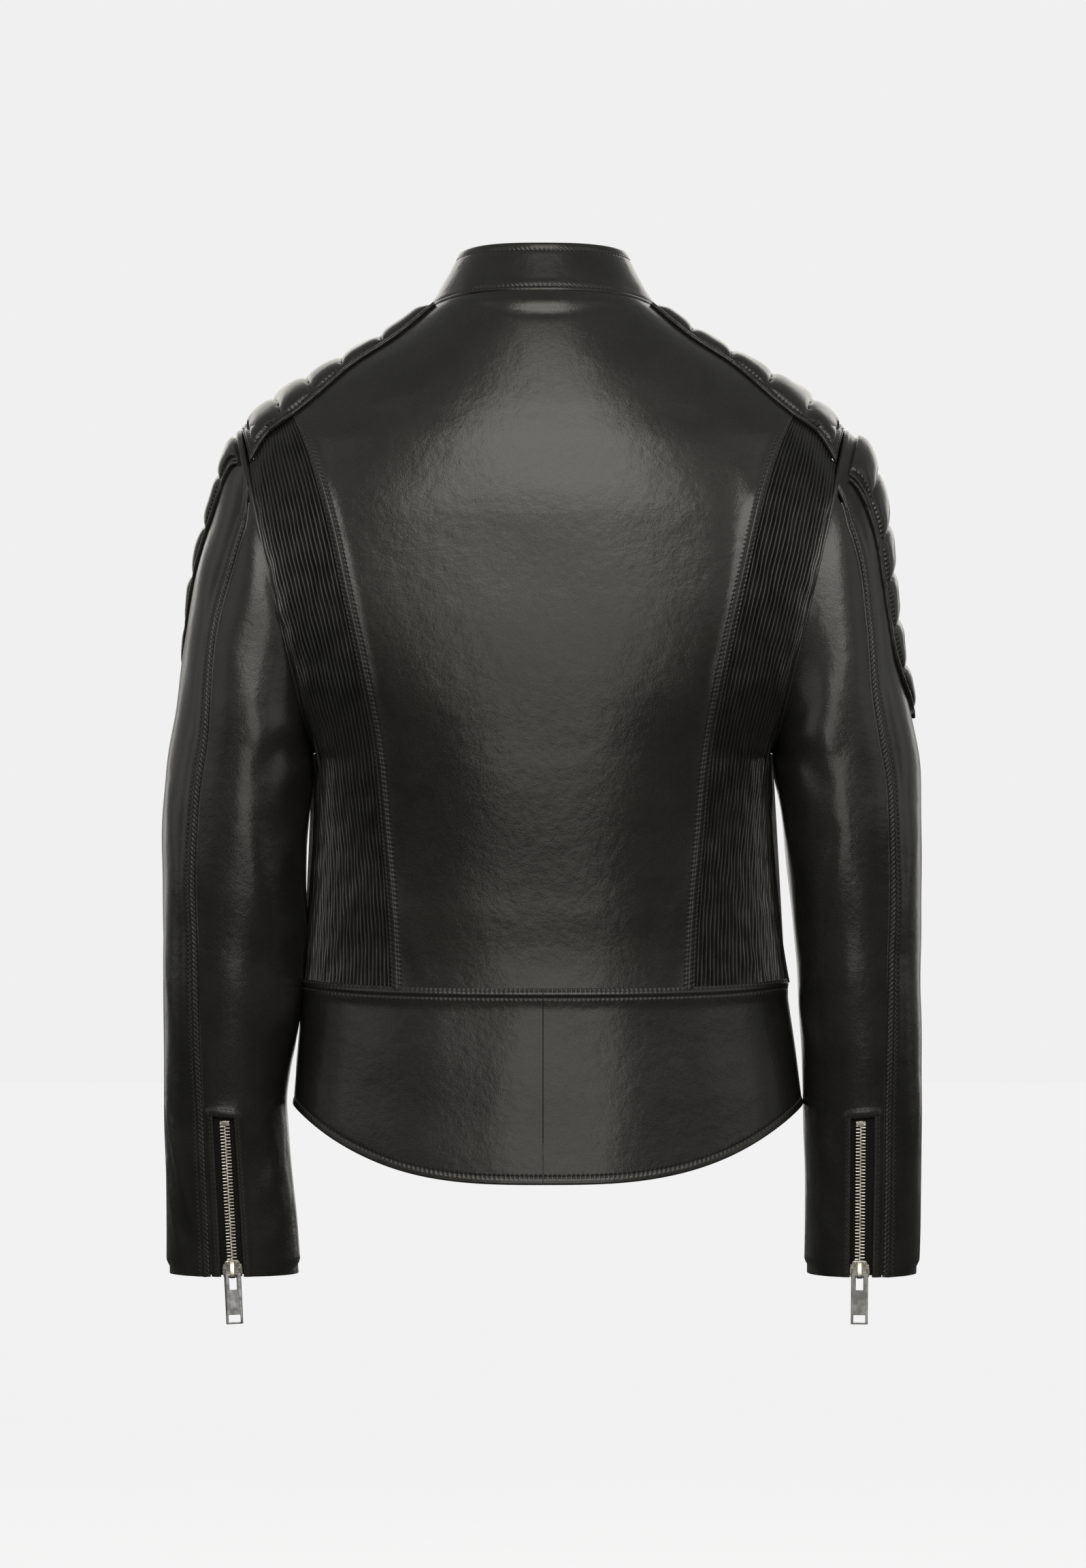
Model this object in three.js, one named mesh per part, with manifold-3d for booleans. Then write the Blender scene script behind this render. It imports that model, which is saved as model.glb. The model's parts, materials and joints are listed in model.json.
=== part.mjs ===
// A leather riding jacket in the shape it takes on a body, with its collar, front and cuffs closed.
// Millimetres. +Z is up, +X is the wearer's left and -Y is the front. The origin is the middle of
// the underside of the hanger loop, where a hook carries the jacket.
//
// The torso is one smooth surface, drawn through level rings: level 0 is the neck seam, 4 the
// shoulder tip, 8 the underarm, 11 the waist seam and 12 the hem. Each sleeve is a surface of its
// own, drawn through rings that turn from the armhole (ring 0) to the cuff (ring 11). Every
// leather panel, lining and pad is a closed sheet cut from one of these surfaces.
import * as THREE from "three";
import Module from "manifold-3d";
import { mergeVertices } from "three/addons/utils/BufferGeometryUtils.js";

// ---- Driving dimensions ----------------------------------------------------------------------
const LEATHER = 2; // one layer with its fusing
const LINING = 1.2;
const LINING_DEPTH = 9; // from the outer surface to the lining
const SEAM_GAP = 0.8; // between two panels at a seam
const WINDOW_HALF_WIDTH = 7.5; // of the leather cut away along a zip
const SHAPE_POWER = 2.3; // a little squarer than an ellipse
const LOOP_AT = [0, -9, 8]; // the loop's underside, seen from the middle of the back neck seam

const NECK = 0;
const TIP = 4;
const UNDERARM = 8;
const WAIST = 11;
const HEM = 12;
const SIDE_Y = -62; // the shoulder line and the side seams
const ARMHOLE_HALF_DEPTH = 70;
const ARMHOLE_TOP = { x: 222, z: -97 };
const ARMHOLE_BOTTOM = { x: 167, z: -335 };
const YOKE_END = 4.475; // level where the shoulder piping meets the armhole
const RIBS_START = 3.55; // level where the ribbed panel starts on the piping

const SLEEVE_RINGS = 11;
const CUFF_ZIP_TOP_RING = 9.72;

// ---- Small mathematics -----------------------------------------------------------------------
// A smooth curve through [position, value] stops that never overshoots them.
function through(stops) {
  const steps = stops.slice(1).map(([x, y], i) => (y - stops[i][1]) / (x - stops[i][0]));
  const slopes = stops.map((_, i) => {
    const [before, after] = [steps[i - 1], steps[i]];
    if (before === undefined || after === undefined) return before ?? after;
    return before * after <= 0 ? 0 : (2 * before * after) / (before + after);
  });
  return (x) => {
    let i = 0;
    while (i < stops.length - 2 && x > stops[i + 1][0]) i++;
    const [x0, y0] = stops[i];
    const [x1, y1] = stops[i + 1];
    const span = x1 - x0;
    const t = THREE.MathUtils.clamp((x - x0) / span, 0, 1);
    const rise = (y1 - y0) * t * t * (3 - 2 * t);
    return y0 + rise + span * t * (1 - t) * (slopes[i] * (1 - t) - slopes[i + 1] * t);
  };
}

const lerp = THREE.MathUtils.lerp;
const steps = (from, to, count) => Array.from({ length: count + 1 }, (_, i) => lerp(from, to, i / count));
const vector = (x, y, z) => new THREE.Vector3(x, y, z);

// ---- The torso surface -----------------------------------------------------------------------
const shoulderX = through([[0, 84], [1, 118], [2, 152], [3, 190], [4, ARMHOLE_TOP.x]]);
const shoulderZ = through([[0, -9], [1, -31], [2, -50], [3, -71.5], [4, ARMHOLE_TOP.z]]);
// Below the underarm the left side stands in a little, behind the sleeve that hangs against it.
const sideXOf = {
  left: through([[8, ARMHOLE_BOTTOM.x], [9, 167.5], [10, 170.5], [11, 175.5], [12, 183.5]]),
  right: through([[8, ARMHOLE_BOTTOM.x], [9, 167.5], [10, 171.5], [11, 178.5], [12, 190.5]]),
};
const sideZ = through([[8, ARMHOLE_BOTTOM.z], [9, -390], [10, -445], [11, -501], [12, -592]]);
const backY = through([[0, 5], [1, 17], [2, 25], [3, 31], [4, 35], [5, 38], [6, 38], [8, 30], [10, 18], [11, 14], [12, 16]]);
const backZ = through([[0, 0], [1, -32], [2, -60], [3, -88], [4, -118], [6, -228], [8, -337], [10, -447], [11, -506], [12, -646]]);
const frontZ = through([[0, -78], [1, -104], [2, -131], [3, -158], [4, -187], [6, -262], [8, -343], [10, -448], [11, -505], [12, -600]]);
const frontY = (z) => -136 + 0.1 * (z + 78); // the front closes along a straight line

// The end of a half ring: on the shoulder line, on the armhole's edge or on the side seam.
function ringEnd(side, level, towardsBack) {
  if (level < TIP) return vector(shoulderX(level), SIDE_Y, shoulderZ(level));
  if (level > UNDERARM) return vector(sideXOf[side > 0 ? "left" : "right"](level), SIDE_Y, sideZ(level));
  const down = (level - TIP) / (UNDERARM - TIP);
  const reach = ARMHOLE_HALF_DEPTH * Math.sqrt(Math.max(0, 1 - (2 * down - 1) ** 2));
  return vector(
    lerp(ARMHOLE_TOP.x, ARMHOLE_BOTTOM.x, down),
    SIDE_Y + (towardsBack ? reach : -reach),
    lerp(ARMHOLE_TOP.z, ARMHOLE_BOTTOM.z, down),
  );
}

// A point of the torso: share runs from 0 at the middle of the back or front to 1 at the ring's end.
function torsoPoint(side, towardsBack, share, level) {
  const end = ringEnd(side, level, towardsBack);
  const middleZ = towardsBack ? backZ(level) : frontZ(level);
  const middleY = towardsBack ? backY(level) : frontY(middleZ);
  const turn = (Math.abs(share) * Math.PI) / 2;
  const across = Math.sin(turn) ** (2 / SHAPE_POWER);
  const deep = Math.max(0, Math.cos(turn)) ** (2 / SHAPE_POWER);
  return vector(
    side * Math.sign(share || 1) * end.x * across,
    end.y + (middleY - end.y) * deep,
    end.z + (middleZ - end.z) * (1 - across ** 3),
  );
}

// The share at which a ring is x millimetres from the middle.
function shareAt(x, side, level, towardsBack) {
  const across = Math.min(1, x / ringEnd(side, level, towardsBack).x);
  return (Math.asin(across ** (SHAPE_POWER / 2)) * 2) / Math.PI;
}

const pipingX = through([[0, 77], [1, 106], [2, 138], [3, 165], [RIBS_START, 182], [4, 199], [YOKE_END, 213]]);
const ribSeamX = through([[RIBS_START, 182], [4, 174], [5, 157], [6, 144], [7, 132], [8, 122], [9, 117], [10, 112.5], [11, 110]]);
const pipingShare = (level, back) => (level >= YOKE_END ? 1 : shareAt(pipingX(level), 1, level, back));
const ribSeamShare = (side, level) => shareAt(ribSeamX(level), side, level, true);

// ---- The collar surface ----------------------------------------------------------------------
const collarTop = { halfWidth: 61, backY: -9, frontY: -121, backZ: 36, sideZ: 33, frontZ: -40 };

// angle is 0 at the middle of the back, and grows to PI at the front; rise is 0 at the neck seam.
function collarPoint(angle, rise) {
  const side = Math.sign(angle) || 1;
  const back = Math.abs(angle) <= Math.PI / 2;
  const share = back ? (Math.abs(angle) * 2) / Math.PI : 2 - (Math.abs(angle) * 2) / Math.PI;
  const base = torsoPoint(side, back, share, NECK);
  const middleY = back ? collarTop.backY : collarTop.frontY;
  const middleZ = back ? collarTop.backZ : collarTop.frontZ;
  const across = Math.sin((share * Math.PI) / 2) ** (2 / SHAPE_POWER);
  const deep = Math.max(0, Math.cos((share * Math.PI) / 2)) ** (2 / SHAPE_POWER);
  const top = vector(
    side * collarTop.halfWidth * across,
    SIDE_Y + (middleY - SIDE_Y) * deep,
    collarTop.sideZ + (middleZ - collarTop.sideZ) * (1 - across ** 4),
  );
  return base.lerp(top, rise);
}

// ---- The sleeve surface ----------------------------------------------------------------------
const outerZ = through([[0, -97], [1, -118], [2, -160], [3, -205], [4, -255], [5, -300], [6, -350], [7, -410], [8, -470], [9, -540], [10, -620], [11, -717]]);
const innerZ = through([[0, -335], [1, -341], [2, -347], [3, -356], [4, -372], [5, -396], [6, -428], [7, -467], [8, -507], [9, -557], [10, -624], [11, -717]]);
const centreY = through([[0, SIDE_Y], [2, -58], [4, -54], [6, -53], [8, -58], [9, -63], [10, -70], [11, -78]]);
// The left cuff is squashed flatter than the right, so it reaches closer to the hip.
const sleeves = {
  left: {
    side: 1,
    outerX: through([[0, 222], [1, 230], [2, 242], [3, 254], [4, 262], [5, 267], [6, 275], [7, 278], [9, 277.5], [11, 276]]),
    innerX: through([[0, 167], [1, 168], [2, 169], [3, 170.5], [5, 174], [6, 176.5], [8, 182], [9.4, 188], [11, 177.5]]),
    halfDepth: through([[0, ARMHOLE_HALF_DEPTH], [3, 68], [5, 63], [7, 57], [9, 51], [10, 47], [11, 42]]),
    quiltMiddle: through([[0, -6], [1, -20], [2, -26], [3, -32], [4, -36], [5, -39], [6, -40]]),
    zipAngle: 91,
  },
  right: {
    side: -1,
    outerX: through([[0, 222], [0.5, 232], [1, 238], [2, 248.5], [3, 253], [4, 258.5], [5, 268], [6, 275.5], [9, 276.5], [10, 278], [11, 276]]),
    innerX: through([[0, 167], [1, 168], [2, 169], [3, 170.5], [5, 175.5], [6, 179], [8, 187], [9, 189.5], [10, 191.5], [11, 192]]),
    halfDepth: through([[0, ARMHOLE_HALF_DEPTH], [3, 68], [5, 63], [7, 57], [9, 51], [10, 48], [11, 46]]),
    quiltMiddle: through([[0, -2], [6, -2]]),
    zipAngle: 94,
  },
};
const backSeamAngle = through([[0, 55], [1, 62], [3, 61], [5, 66], [7, 66], [8, 69], [9, 72], [10, 75], [11, 75]]);
const FRONT_SEAM_ANGLE = -105;
const ARMHOLE_CLEARANCE = 1; // the sleeve starts this far outside the armhole's plane

// angle is 0 at the outside of the arm, 90 at the back and 180 at the body side.
function sleevePoint(sleeve, angle, ring) {
  const turn = THREE.MathUtils.degToRad(angle);
  const power = 2 / SHAPE_POWER;
  const along = Math.sign(Math.cos(turn)) * Math.abs(Math.cos(turn)) ** power;
  const deep = Math.sign(Math.sin(turn)) * Math.abs(Math.sin(turn)) ** power;
  const share = (1 + along) / 2;
  return vector(
    sleeve.side * (lerp(sleeve.innerX(ring), sleeve.outerX(ring), share) + ARMHOLE_CLEARANCE),
    centreY(ring) + sleeve.halfDepth(ring) * deep,
    lerp(innerZ(ring), outerZ(ring), share),
  );
}

// ---- Solids ----------------------------------------------------------------------------------
// The outward normal of a surface, by differences along its two parameters.
function normalOf(surface, s, t, inside) {
  const step = 0.004;
  const alongS = surface(s + step, t).sub(surface(s - step, t));
  const alongT = surface(s, t + step).sub(surface(s, t - step));
  const normal = alongS.cross(alongT).normalize();
  return normal.dot(surface(s, t).sub(inside(s, t))) < 0 ? normal.negate() : normal;
}

// A closed sheet over surface(s, t), between the heights top and bottom above it.
function sheet(surface, sStops, tStops, top, bottom, inside) {
  const columns = sStops.length;
  const rows = tStops.length;
  const places = [];
  for (const height of [top, bottom])
    for (const t of tStops)
      for (const s of sStops) {
        const lift = typeof height === "function" ? height(s, t) : height;
        places.push(surface(s, t).addScaledVector(normalOf(surface, s, t, inside), lift));
      }
  const at = (layer, row, column) => (layer * rows + row) * columns + column;
  const faces = [];
  const quad = (a, b, c, d) => faces.push(a, b, c, a, c, d);
  for (let row = 0; row < rows - 1; row++)
    for (let column = 0; column < columns - 1; column++) {
      quad(at(0, row, column), at(0, row, column + 1), at(0, row + 1, column + 1), at(0, row + 1, column));
      quad(at(1, row, column), at(1, row + 1, column), at(1, row + 1, column + 1), at(1, row, column + 1));
    }
  for (let column = 0; column < columns - 1; column++) {
    quad(at(0, 0, column + 1), at(0, 0, column), at(1, 0, column), at(1, 0, column + 1));
    quad(at(0, rows - 1, column), at(0, rows - 1, column + 1), at(1, rows - 1, column + 1), at(1, rows - 1, column));
  }
  for (let row = 0; row < rows - 1; row++) {
    quad(at(0, row, 0), at(0, row + 1, 0), at(1, row + 1, 0), at(1, row, 0));
    quad(at(0, row + 1, columns - 1), at(0, row, columns - 1), at(1, row, columns - 1), at(1, row + 1, columns - 1));
  }
  return facingOut(places, faces);
}

// A closed tube of leather or lining round a sleeve, open at both ends.
function tube(surface, angles, rings, top, bottom, inside) {
  const around = angles.length;
  const rows = rings.length;
  const places = [];
  for (const height of [top, bottom])
    for (const ring of rings)
      for (const angle of angles)
        places.push(surface(angle, ring).addScaledVector(normalOf(surface, angle, ring, inside), height));
  const at = (layer, row, i) => (layer * rows + row) * around + (i % around);
  const faces = [];
  const quad = (a, b, c, d) => faces.push(a, b, c, a, c, d);
  for (let i = 0; i < around; i++) {
    for (let row = 0; row < rows - 1; row++) {
      quad(at(0, row, i), at(0, row, i + 1), at(0, row + 1, i + 1), at(0, row + 1, i));
      quad(at(1, row, i), at(1, row + 1, i), at(1, row + 1, i + 1), at(1, row, i + 1));
    }
    quad(at(0, 0, i + 1), at(0, 0, i), at(1, 0, i), at(1, 0, i + 1));
    quad(at(0, rows - 1, i), at(0, rows - 1, i + 1), at(1, rows - 1, i + 1), at(1, rows - 1, i));
  }
  return facingOut(places, faces);
}

// A geometry of these corners and triangles, turned so that the faces point out.
function facingOut(places, faces) {
  let volume = 0;
  for (let i = 0; i < faces.length; i += 3) {
    const [a, b, c] = [0, 1, 2].map((k) => places[faces[i + k]]);
    volume += a.dot(b.clone().cross(c));
  }
  const index = volume < 0 ? faces.reverse() : faces;
  return new THREE.BufferGeometry().setFromPoints(places).setIndex(index);
}

// A round cord through these points.
function cord(points, radius, sides, count) {
  const section = new THREE.Shape(steps(0, 1, sides - 1).map((_, i) => {
    const turn = (i / sides) * 2 * Math.PI;
    return new THREE.Vector2(radius * Math.cos(turn), radius * Math.sin(turn));
  }));
  const extrudePath = new THREE.CatmullRomCurve3(points);
  return new THREE.ExtrudeGeometry(section, { extrudePath, steps: count, curveSegments: 1 });
}

const wasm = await Module();
wasm.setup();

function solid(geometry) {
  const bare = geometry.index ? geometry.toNonIndexed() : geometry.clone();
  bare.deleteAttribute("normal");
  bare.deleteAttribute("uv");
  const merged = mergeVertices(bare, 1e-3);
  return new wasm.Manifold(
    new wasm.Mesh({
      numProp: 3,
      vertProperties: merged.attributes.position.array,
      triVerts: new Uint32Array(merged.index.array),
    }),
  );
}

function geometryOf(made) {
  const mesh = made.getMesh();
  return new THREE.BufferGeometry()
    .setAttribute("position", new THREE.BufferAttribute(mesh.vertProperties, 3))
    .setIndex(new THREE.BufferAttribute(mesh.triVerts, 1));
}

const joined = (...geometries) => geometryOf(geometries.map(solid).reduce((a, b) => a.add(b)));

// ---- Building the scene ----------------------------------------------------------------------
const jacket = new THREE.Group();
jacket.position.set(-LOOP_AT[0], -LOOP_AT[1], -LOOP_AT[2]);

const looks = {
  leather: { color: 0x262523, roughness: 0.45, metalness: 0 },
  quilt: { color: 0x2a2926, roughness: 0.45, metalness: 0 },
  foam: { color: 0x7c7a74, roughness: 0.95, metalness: 0 },
  lining: { color: 0x1c1c1f, roughness: 0.6, metalness: 0 },
  tape: { color: 0x161616, roughness: 0.9, metalness: 0 },
  nickel: { color: 0xc9c3b0, roughness: 0.25, metalness: 1 },
  gunmetal: { color: 0x55565a, roughness: 0.15, metalness: 1 },
};

function add(name, look, geometry, parent = jacket) {
  const mesh = new THREE.Mesh(geometry, new THREE.MeshStandardMaterial(looks[look]));
  mesh.name = name;
  parent.add(mesh);
  return mesh;
}

const torsoMiddle = (point) => vector(0, SIDE_Y, point.z - 30);
const bySide = [["left", 1], ["right", -1]];

// Moves a share away from a seam by the given millimetres.
const inset = (share, level, back, gap) => share - gap / (ringEnd(1, level, back).x * 1.2);

// ---- Back, ribbed sides and lower back -------------------------------------------------------
const bodyLevels = [0.06, 1, 2, 3, RIBS_START, 4, YOKE_END, 5.2, 6, 7, 8, 9, 10, 10.97];

const panels = {}; // front panels, kept until the pocket windows are cut

function backSurface(s, level) {
  const side = Math.sign(s) || 1;
  const edge = level < RIBS_START ? pipingShare(level, true) : ribSeamShare(side, level);
  return torsoPoint(side, true, Math.abs(s) * inset(edge, level, true, SEAM_GAP / 2), level);
}
const backInside = (surface) => (s, t) => torsoMiddle(surface(s, t));
add("back_panel", "leather", sheet(backSurface, steps(-1, 1, 8), bodyLevels, 0, -LEATHER, backInside(backSurface)));

for (const [name, side] of bySide) {
  // The ribbed panel's top edge runs down the piping, and its outer edge down the armhole.
  const ribs = (s, t) => {
    const top = lerp(RIBS_START + 0.08, YOKE_END + 0.12, s);
    const level = lerp(top, WAIST - 0.03, t);
    const inner = inset(ribSeamShare(side, level), level, true, -SEAM_GAP / 2);
    return torsoPoint(side, true, lerp(inner, inset(1, level, true, 3.5), s), level);
  };
  add(`rib_panel_${name}`, "leather", sheet(ribs, steps(0.01, 1, 5), [0, 0.06, 0.14, 0.26, 0.4, 0.5, 0.6, 0.72, 0.86, 1], 0, -LEATHER, backInside(ribs)));

  const lower = (s, t) => {
    const level = lerp(WAIST + 0.01, HEM, t);
    return torsoPoint(side, true, lerp(shareAt(SEAM_GAP / 2, side, level, true), inset(1, level, true, SEAM_GAP / 2), s), level);
  };
  add(`lower_back_${name}`, "leather", sheet(lower, steps(0, 1, 8), [0, 0.5, 1], 0, -LEATHER, backInside(lower)));

  const front = (s, level) => {
    const edge = level < YOKE_END ? pipingShare(level, false) : 1;
    const zipSide = shareAt(WINDOW_HALF_WIDTH, side, level, false);
    return torsoPoint(side, false, lerp(zipSide, inset(edge, level, false, SEAM_GAP), s), level);
  };
  const frontLevels = [...bodyLevels.slice(0, -1), WAIST, HEM];
  panels[`front_panel_${name}`] = sheet(front, steps(0, 1, 6), frontLevels, 0, -LEATHER, backInside(front));

  // The yoke runs from the neck (p = 0) to the armhole (p = 1), and from the front piping (q = -1)
  // over the shoulder line (q = 0) to the back piping (q = 1).
  const yoke = (q, p) => {
    const back = q >= 0;
    const reach = Math.abs(q);
    const level = p * lerp(TIP, YOKE_END, reach * reach);
    const alongPiping = p * YOKE_END;
    return torsoPoint(side, back, 1 - reach * (1 - pipingShare(alongPiping, back)), level);
  };
  const yokeStops = [-0.86, -0.55, -0.25, 0, 0.25, 0.55, 0.86];
  const yokeRuns = [0.04, 0.2, 0.37, 0.54, 0.71, 0.86, 0.96];
  const yokeInside = (q, p) => torsoMiddle(yoke(q, p));
  add(`shoulder_quilt_${name}`, "quilt", sheet(yoke, yokeStops, yokeRuns, 5, 3, yokeInside));
  add(`shoulder_foam_${name}`, "foam", sheet(yoke, yokeStops, yokeRuns, 2.4, -1.6, yokeInside));
  for (const [face, q] of [["back", 1], ["front", -1]]) {
    const run = steps(0.05, 0.93, 7).map((p) => yoke(q, p).addScaledVector(normalOf(yoke, q * 0.98, p, yokeInside), 2.4));
    add(`shoulder_piping_${face}_${name}`, "leather", cord(run, 1.5, 6, 12));
  }
}

// ---- Linings and pocket bags -----------------------------------------------------------------
const liningLevels = [0.35, 1, 2, 3, 3.9, 5, 6, 7, 8, 9.5, 11, 11.8];
const liningBack = (s, level) => torsoPoint(Math.sign(s) || 1, true, Math.abs(s) * 0.97, level);
add("lining_back", "lining", sheet(liningBack, steps(-1, 1, 8), liningLevels, -LINING_DEPTH, -LINING_DEPTH - LINING, backInside(liningBack)));
for (const [name, side] of bySide) {
  const liningFront = (s, level) => torsoPoint(side, false, lerp(0.06, 0.97, s), level);
  add(`lining_front_${name}`, "lining", sheet(liningFront, steps(0, 1, 8), liningLevels, -LINING_DEPTH, -LINING_DEPTH - LINING, backInside(liningFront)));
  const bag = (s, t) => torsoPoint(side, false, lerp(0.34, 0.66, s), lerp(9.2, 11.6, t));
  add(`pocket_bag_${name}`, "lining", sheet(bag, steps(0, 1, 4), steps(0, 1, 4), -6.1, -6.9, backInside(bag)));
}

// ---- Collar ----------------------------------------------------------------------------------
const collarEnd = 0.965 * Math.PI;
const collarInside = (angle, rise) => vector(0, SIDE_Y, collarPoint(angle, rise).z);
const collarStops = steps(-collarEnd, collarEnd, 18);
add("collar_outer", "leather", sheet(collarPoint, collarStops, [0.03, 0.5, 1], 0, -1.6, collarInside));
add("collar_lining", "leather", sheet(collarPoint, collarStops, [0.03, 0.5, 0.985], -2.6, -4, collarInside));

// The hanger loop is an arched leather strip whose feet are caught in the collar seam.
const loop = new THREE.Shape([
  [-31, -13], [-27.5, -13], [-15, 0], [15, 0], [27.5, -13], [31, -13], [16.2, 2], [-16.2, 2],
].map(([x, z]) => new THREE.Vector2(x, z)));
const loopWidth = 8;
const loopStrip = new THREE.ExtrudeGeometry(loop, { depth: loopWidth, bevelEnabled: false });
loopStrip.rotateX(Math.PI / 2).translate(LOOP_AT[0], LOOP_AT[1] + loopWidth / 2, LOOP_AT[2]);
add("hanger_loop", "leather", loopStrip);

// ---- Zips ------------------------------------------------------------------------------------
// A zip lies in its own group: +Z up the chain, +Y away from the leather, and 0 on the leather's
// outer face. Its tape is sewn behind the leather, and its chain shows in a window cut through it.
const tape = { halfWidth: 9.5, bottom: -4.9, top: -4.3 };
const chain = { halfWidth: 3.8, bottom: -3.8, top: 0.3 };
const FRONT_TEETH_GAP = 0.3; // between the closed front zip's two rows
const slider = { length: 13.5, plateBottom: 0.7, plateTop: 2.1, bridgeTop: 6.2 };
const pivot = { height: 4, drop: 3.6 }; // above the leather, and down the chain from the slider's middle

const box = (x, y, z, [cx, cy, cz]) => new THREE.BoxGeometry(x, y, z).translate(cx, cy, cz);

// A strip along the chain, from z = low to z = high.
function strip(from, to, { bottom, top }, low, high) {
  return box(to - from, top - bottom, high - low, [(from + to) / 2, (top + bottom) / 2, (low + high) / 2]);
}

const flat = (points) => points.map(([a, b]) => new THREE.Vector2(a, b));

// The slider straddles the chain, and its bridge holds the puller's bar.
function sliderGeometry() {
  const half = slider.length / 2;
  const outline = new THREE.Shape(flat([
    [-5.2, half], [5.2, half], [6.9, 3], [6.9, -4.5], [5.4, -half], [-5.4, -half], [-6.9, -4.5], [-6.9, 3],
  ]));
  const plate = new THREE.ExtrudeGeometry(outline, { depth: slider.plateTop - slider.plateBottom, bevelEnabled: false });
  plate.rotateX(Math.PI / 2).translate(0, slider.plateTop, 0);
  const flange = (side) => box(1.6, 3.3, slider.length - 4, [side * 5.3, slider.plateBottom - 1.3, -0.5]);
  const arch = new THREE.Shape(flat([
    [5, 2], [-6.2, 2], [-6.2, slider.bridgeTop], [-1.4, slider.bridgeTop], [3.4, slider.bridgeTop - 2],
  ]));
  arch.holes.push(new THREE.Path(flat([[-5.3, 2.4], [-1.9, 2.4], [-1.9, 5.5], [-5.3, 5.5]])));
  const bridge = new THREE.ExtrudeGeometry(arch, { depth: 4, bevelEnabled: false });
  bridge.applyMatrix4(new THREE.Matrix4().makeBasis(vector(0, 0, 1), vector(0, 1, 0), vector(-1, 0, 0)));
  bridge.translate(2, 0, 0);
  return joined(plate, flange(1), flange(-1), bridge);
}

// The puller is a plate with a window for the bridge and a slot near its free end. It is drawn
// hanging from its hinge, the X axis.
function pullerGeometry() {
  const half = 6.1;
  const plate = new THREE.Shape(flat([[-half, 1.1], [half, 1.1], [half, -37], [-half, -37]]));
  const window = [[-3.1, -0.9], [-3.1, -11], [3.1, -11], [3.1, -0.9]];
  const slot = [[-4.3, -29.5], [-4.3, -35.2], [4.3, -35.2], [4.3, -29.5]];
  for (const hole of [window, slot]) plate.holes.push(new THREE.Path(flat(hole)));
  const thickness = 1.5;
  return new THREE.ExtrudeGeometry(plate, { depth: thickness, bevelEnabled: false })
    .rotateX(Math.PI / 2)
    .translate(0, thickness / 2, 0);
}

// The zip's frame on the leather: up is the way up its chain, out is away from the leather.
function zipFrame(foot, up, out) {
  const z = up.clone().normalize();
  const x = out.clone().cross(z).normalize();
  const y = z.clone().cross(x);
  return new THREE.Matrix4().makeBasis(x, y, z).setPosition(foot);
}

function zipGroup(frame) {
  const group = new THREE.Group();
  group.applyMatrix4(frame);
  jacket.add(group);
  return group;
}

// Cuts the zip's window through a leather panel.
function withWindow(panel, frame, low, high) {
  const window = box(WINDOW_HALF_WIDTH * 2, 16, high - low, [0, 0, (low + high) / 2]);
  return geometryOf(solid(panel).subtract(solid(window.applyMatrix4(frame))));
}

// Adds a slider and its puller. The puller lies on the leather, or hangs down where that is free.
function addRunner(prefix, suffix, group, at) {
  const moving = new THREE.Group();
  moving.position.set(0, 0, at);
  group.add(moving);
  add(`${prefix}_slider${suffix}`, "nickel", sliderGeometry(), moving);
  const hung = add(`${prefix}_puller${suffix}`, "gunmetal", pullerGeometry(), moving);
  hung.position.set(0, pivot.height, -pivot.drop);
  const down = vector(0, 0, -1).transformDirection(group.matrix.clone().invert());
  hung.rotation.x = Math.max(0, Math.atan2(down.y, -down.z));
}

// The front zip runs down the straight front line, with the slider at the neck. Each row of teeth
// ends in the half of the box that joins them.
const frontZip = { top: -92, bottom: -592, sliderBelowTop: 14 };
const frontAt = (z) => vector(0, frontY(z), z);
const frontUp = frontAt(frontZip.top).sub(frontAt(frontZip.bottom));
const frontGroup = zipGroup(zipFrame(frontAt(frontZip.bottom), frontUp, vector(0, -1, 0)));
const frontLength = frontUp.length();
for (const [name, side] of [["left", -1], ["right", 1]]) {
  const across = (near, far, heights, low, high) =>
    strip(Math.min(side * near, side * far), Math.max(side * near, side * far), heights, low, high);
  const teeth = across(FRONT_TEETH_GAP / 2, chain.halfWidth, chain, 0, frontLength - frontZip.sliderBelowTop);
  const foot = across(FRONT_TEETH_GAP / 2, 4.5, { bottom: -3.8, top: 0.8 }, -2, 9);
  add(`front_zip_teeth_${name}`, "nickel", joined(teeth, foot), frontGroup);
  add(`front_zip_tape_${name}`, "tape", across(0.2, tape.halfWidth, tape, 0, frontLength - 4), frontGroup);
}
addRunner("front", "", frontGroup, frontLength - frontZip.sliderBelowTop);

// A closed zip in a window: tape, one chain and the runner.
function addShortZip(prefix, side, frame, length, teeth, runnerAt) {
  const group = zipGroup(frame);
  add(`${prefix}_zip_tape_${side}`, "tape", strip(-tape.halfWidth, tape.halfWidth, tape, 1, length + 4), group);
  add(`${prefix}_zip_teeth_${side}`, "nickel", strip(-chain.halfWidth, chain.halfWidth, chain, ...teeth), group);
  addRunner(prefix, `_${side}`, group, runnerAt);
}

// Each pocket zip leans over the lower front, with its slider at the top.
for (const [name, side] of bySide) {
  const surface = (share, level) => torsoPoint(side, false, share, level);
  const [top, foot] = [surface(0.46, 9.35), surface(0.56, 10.95)];
  const middle = surface(0.51, 10.15);
  const out = normalOf(surface, 0.51, 10.15, (s, t) => torsoMiddle(surface(s, t)));
  const up = top.clone().sub(foot);
  const length = up.length();
  const proud = middle.sub(top.clone().lerp(foot, 0.5)).dot(out);
  const frame = zipFrame(foot.addScaledVector(out, proud / 2 - 0.5), up, out);
  panels[`front_panel_${name}`] = withWindow(panels[`front_panel_${name}`], frame, 0, length);
  addShortZip("pocket", name, frame, length, [1, length - 1], length - 8);
}
for (const [name] of bySide) add(`front_panel_${name}`, "leather", panels[`front_panel_${name}`]);

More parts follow.
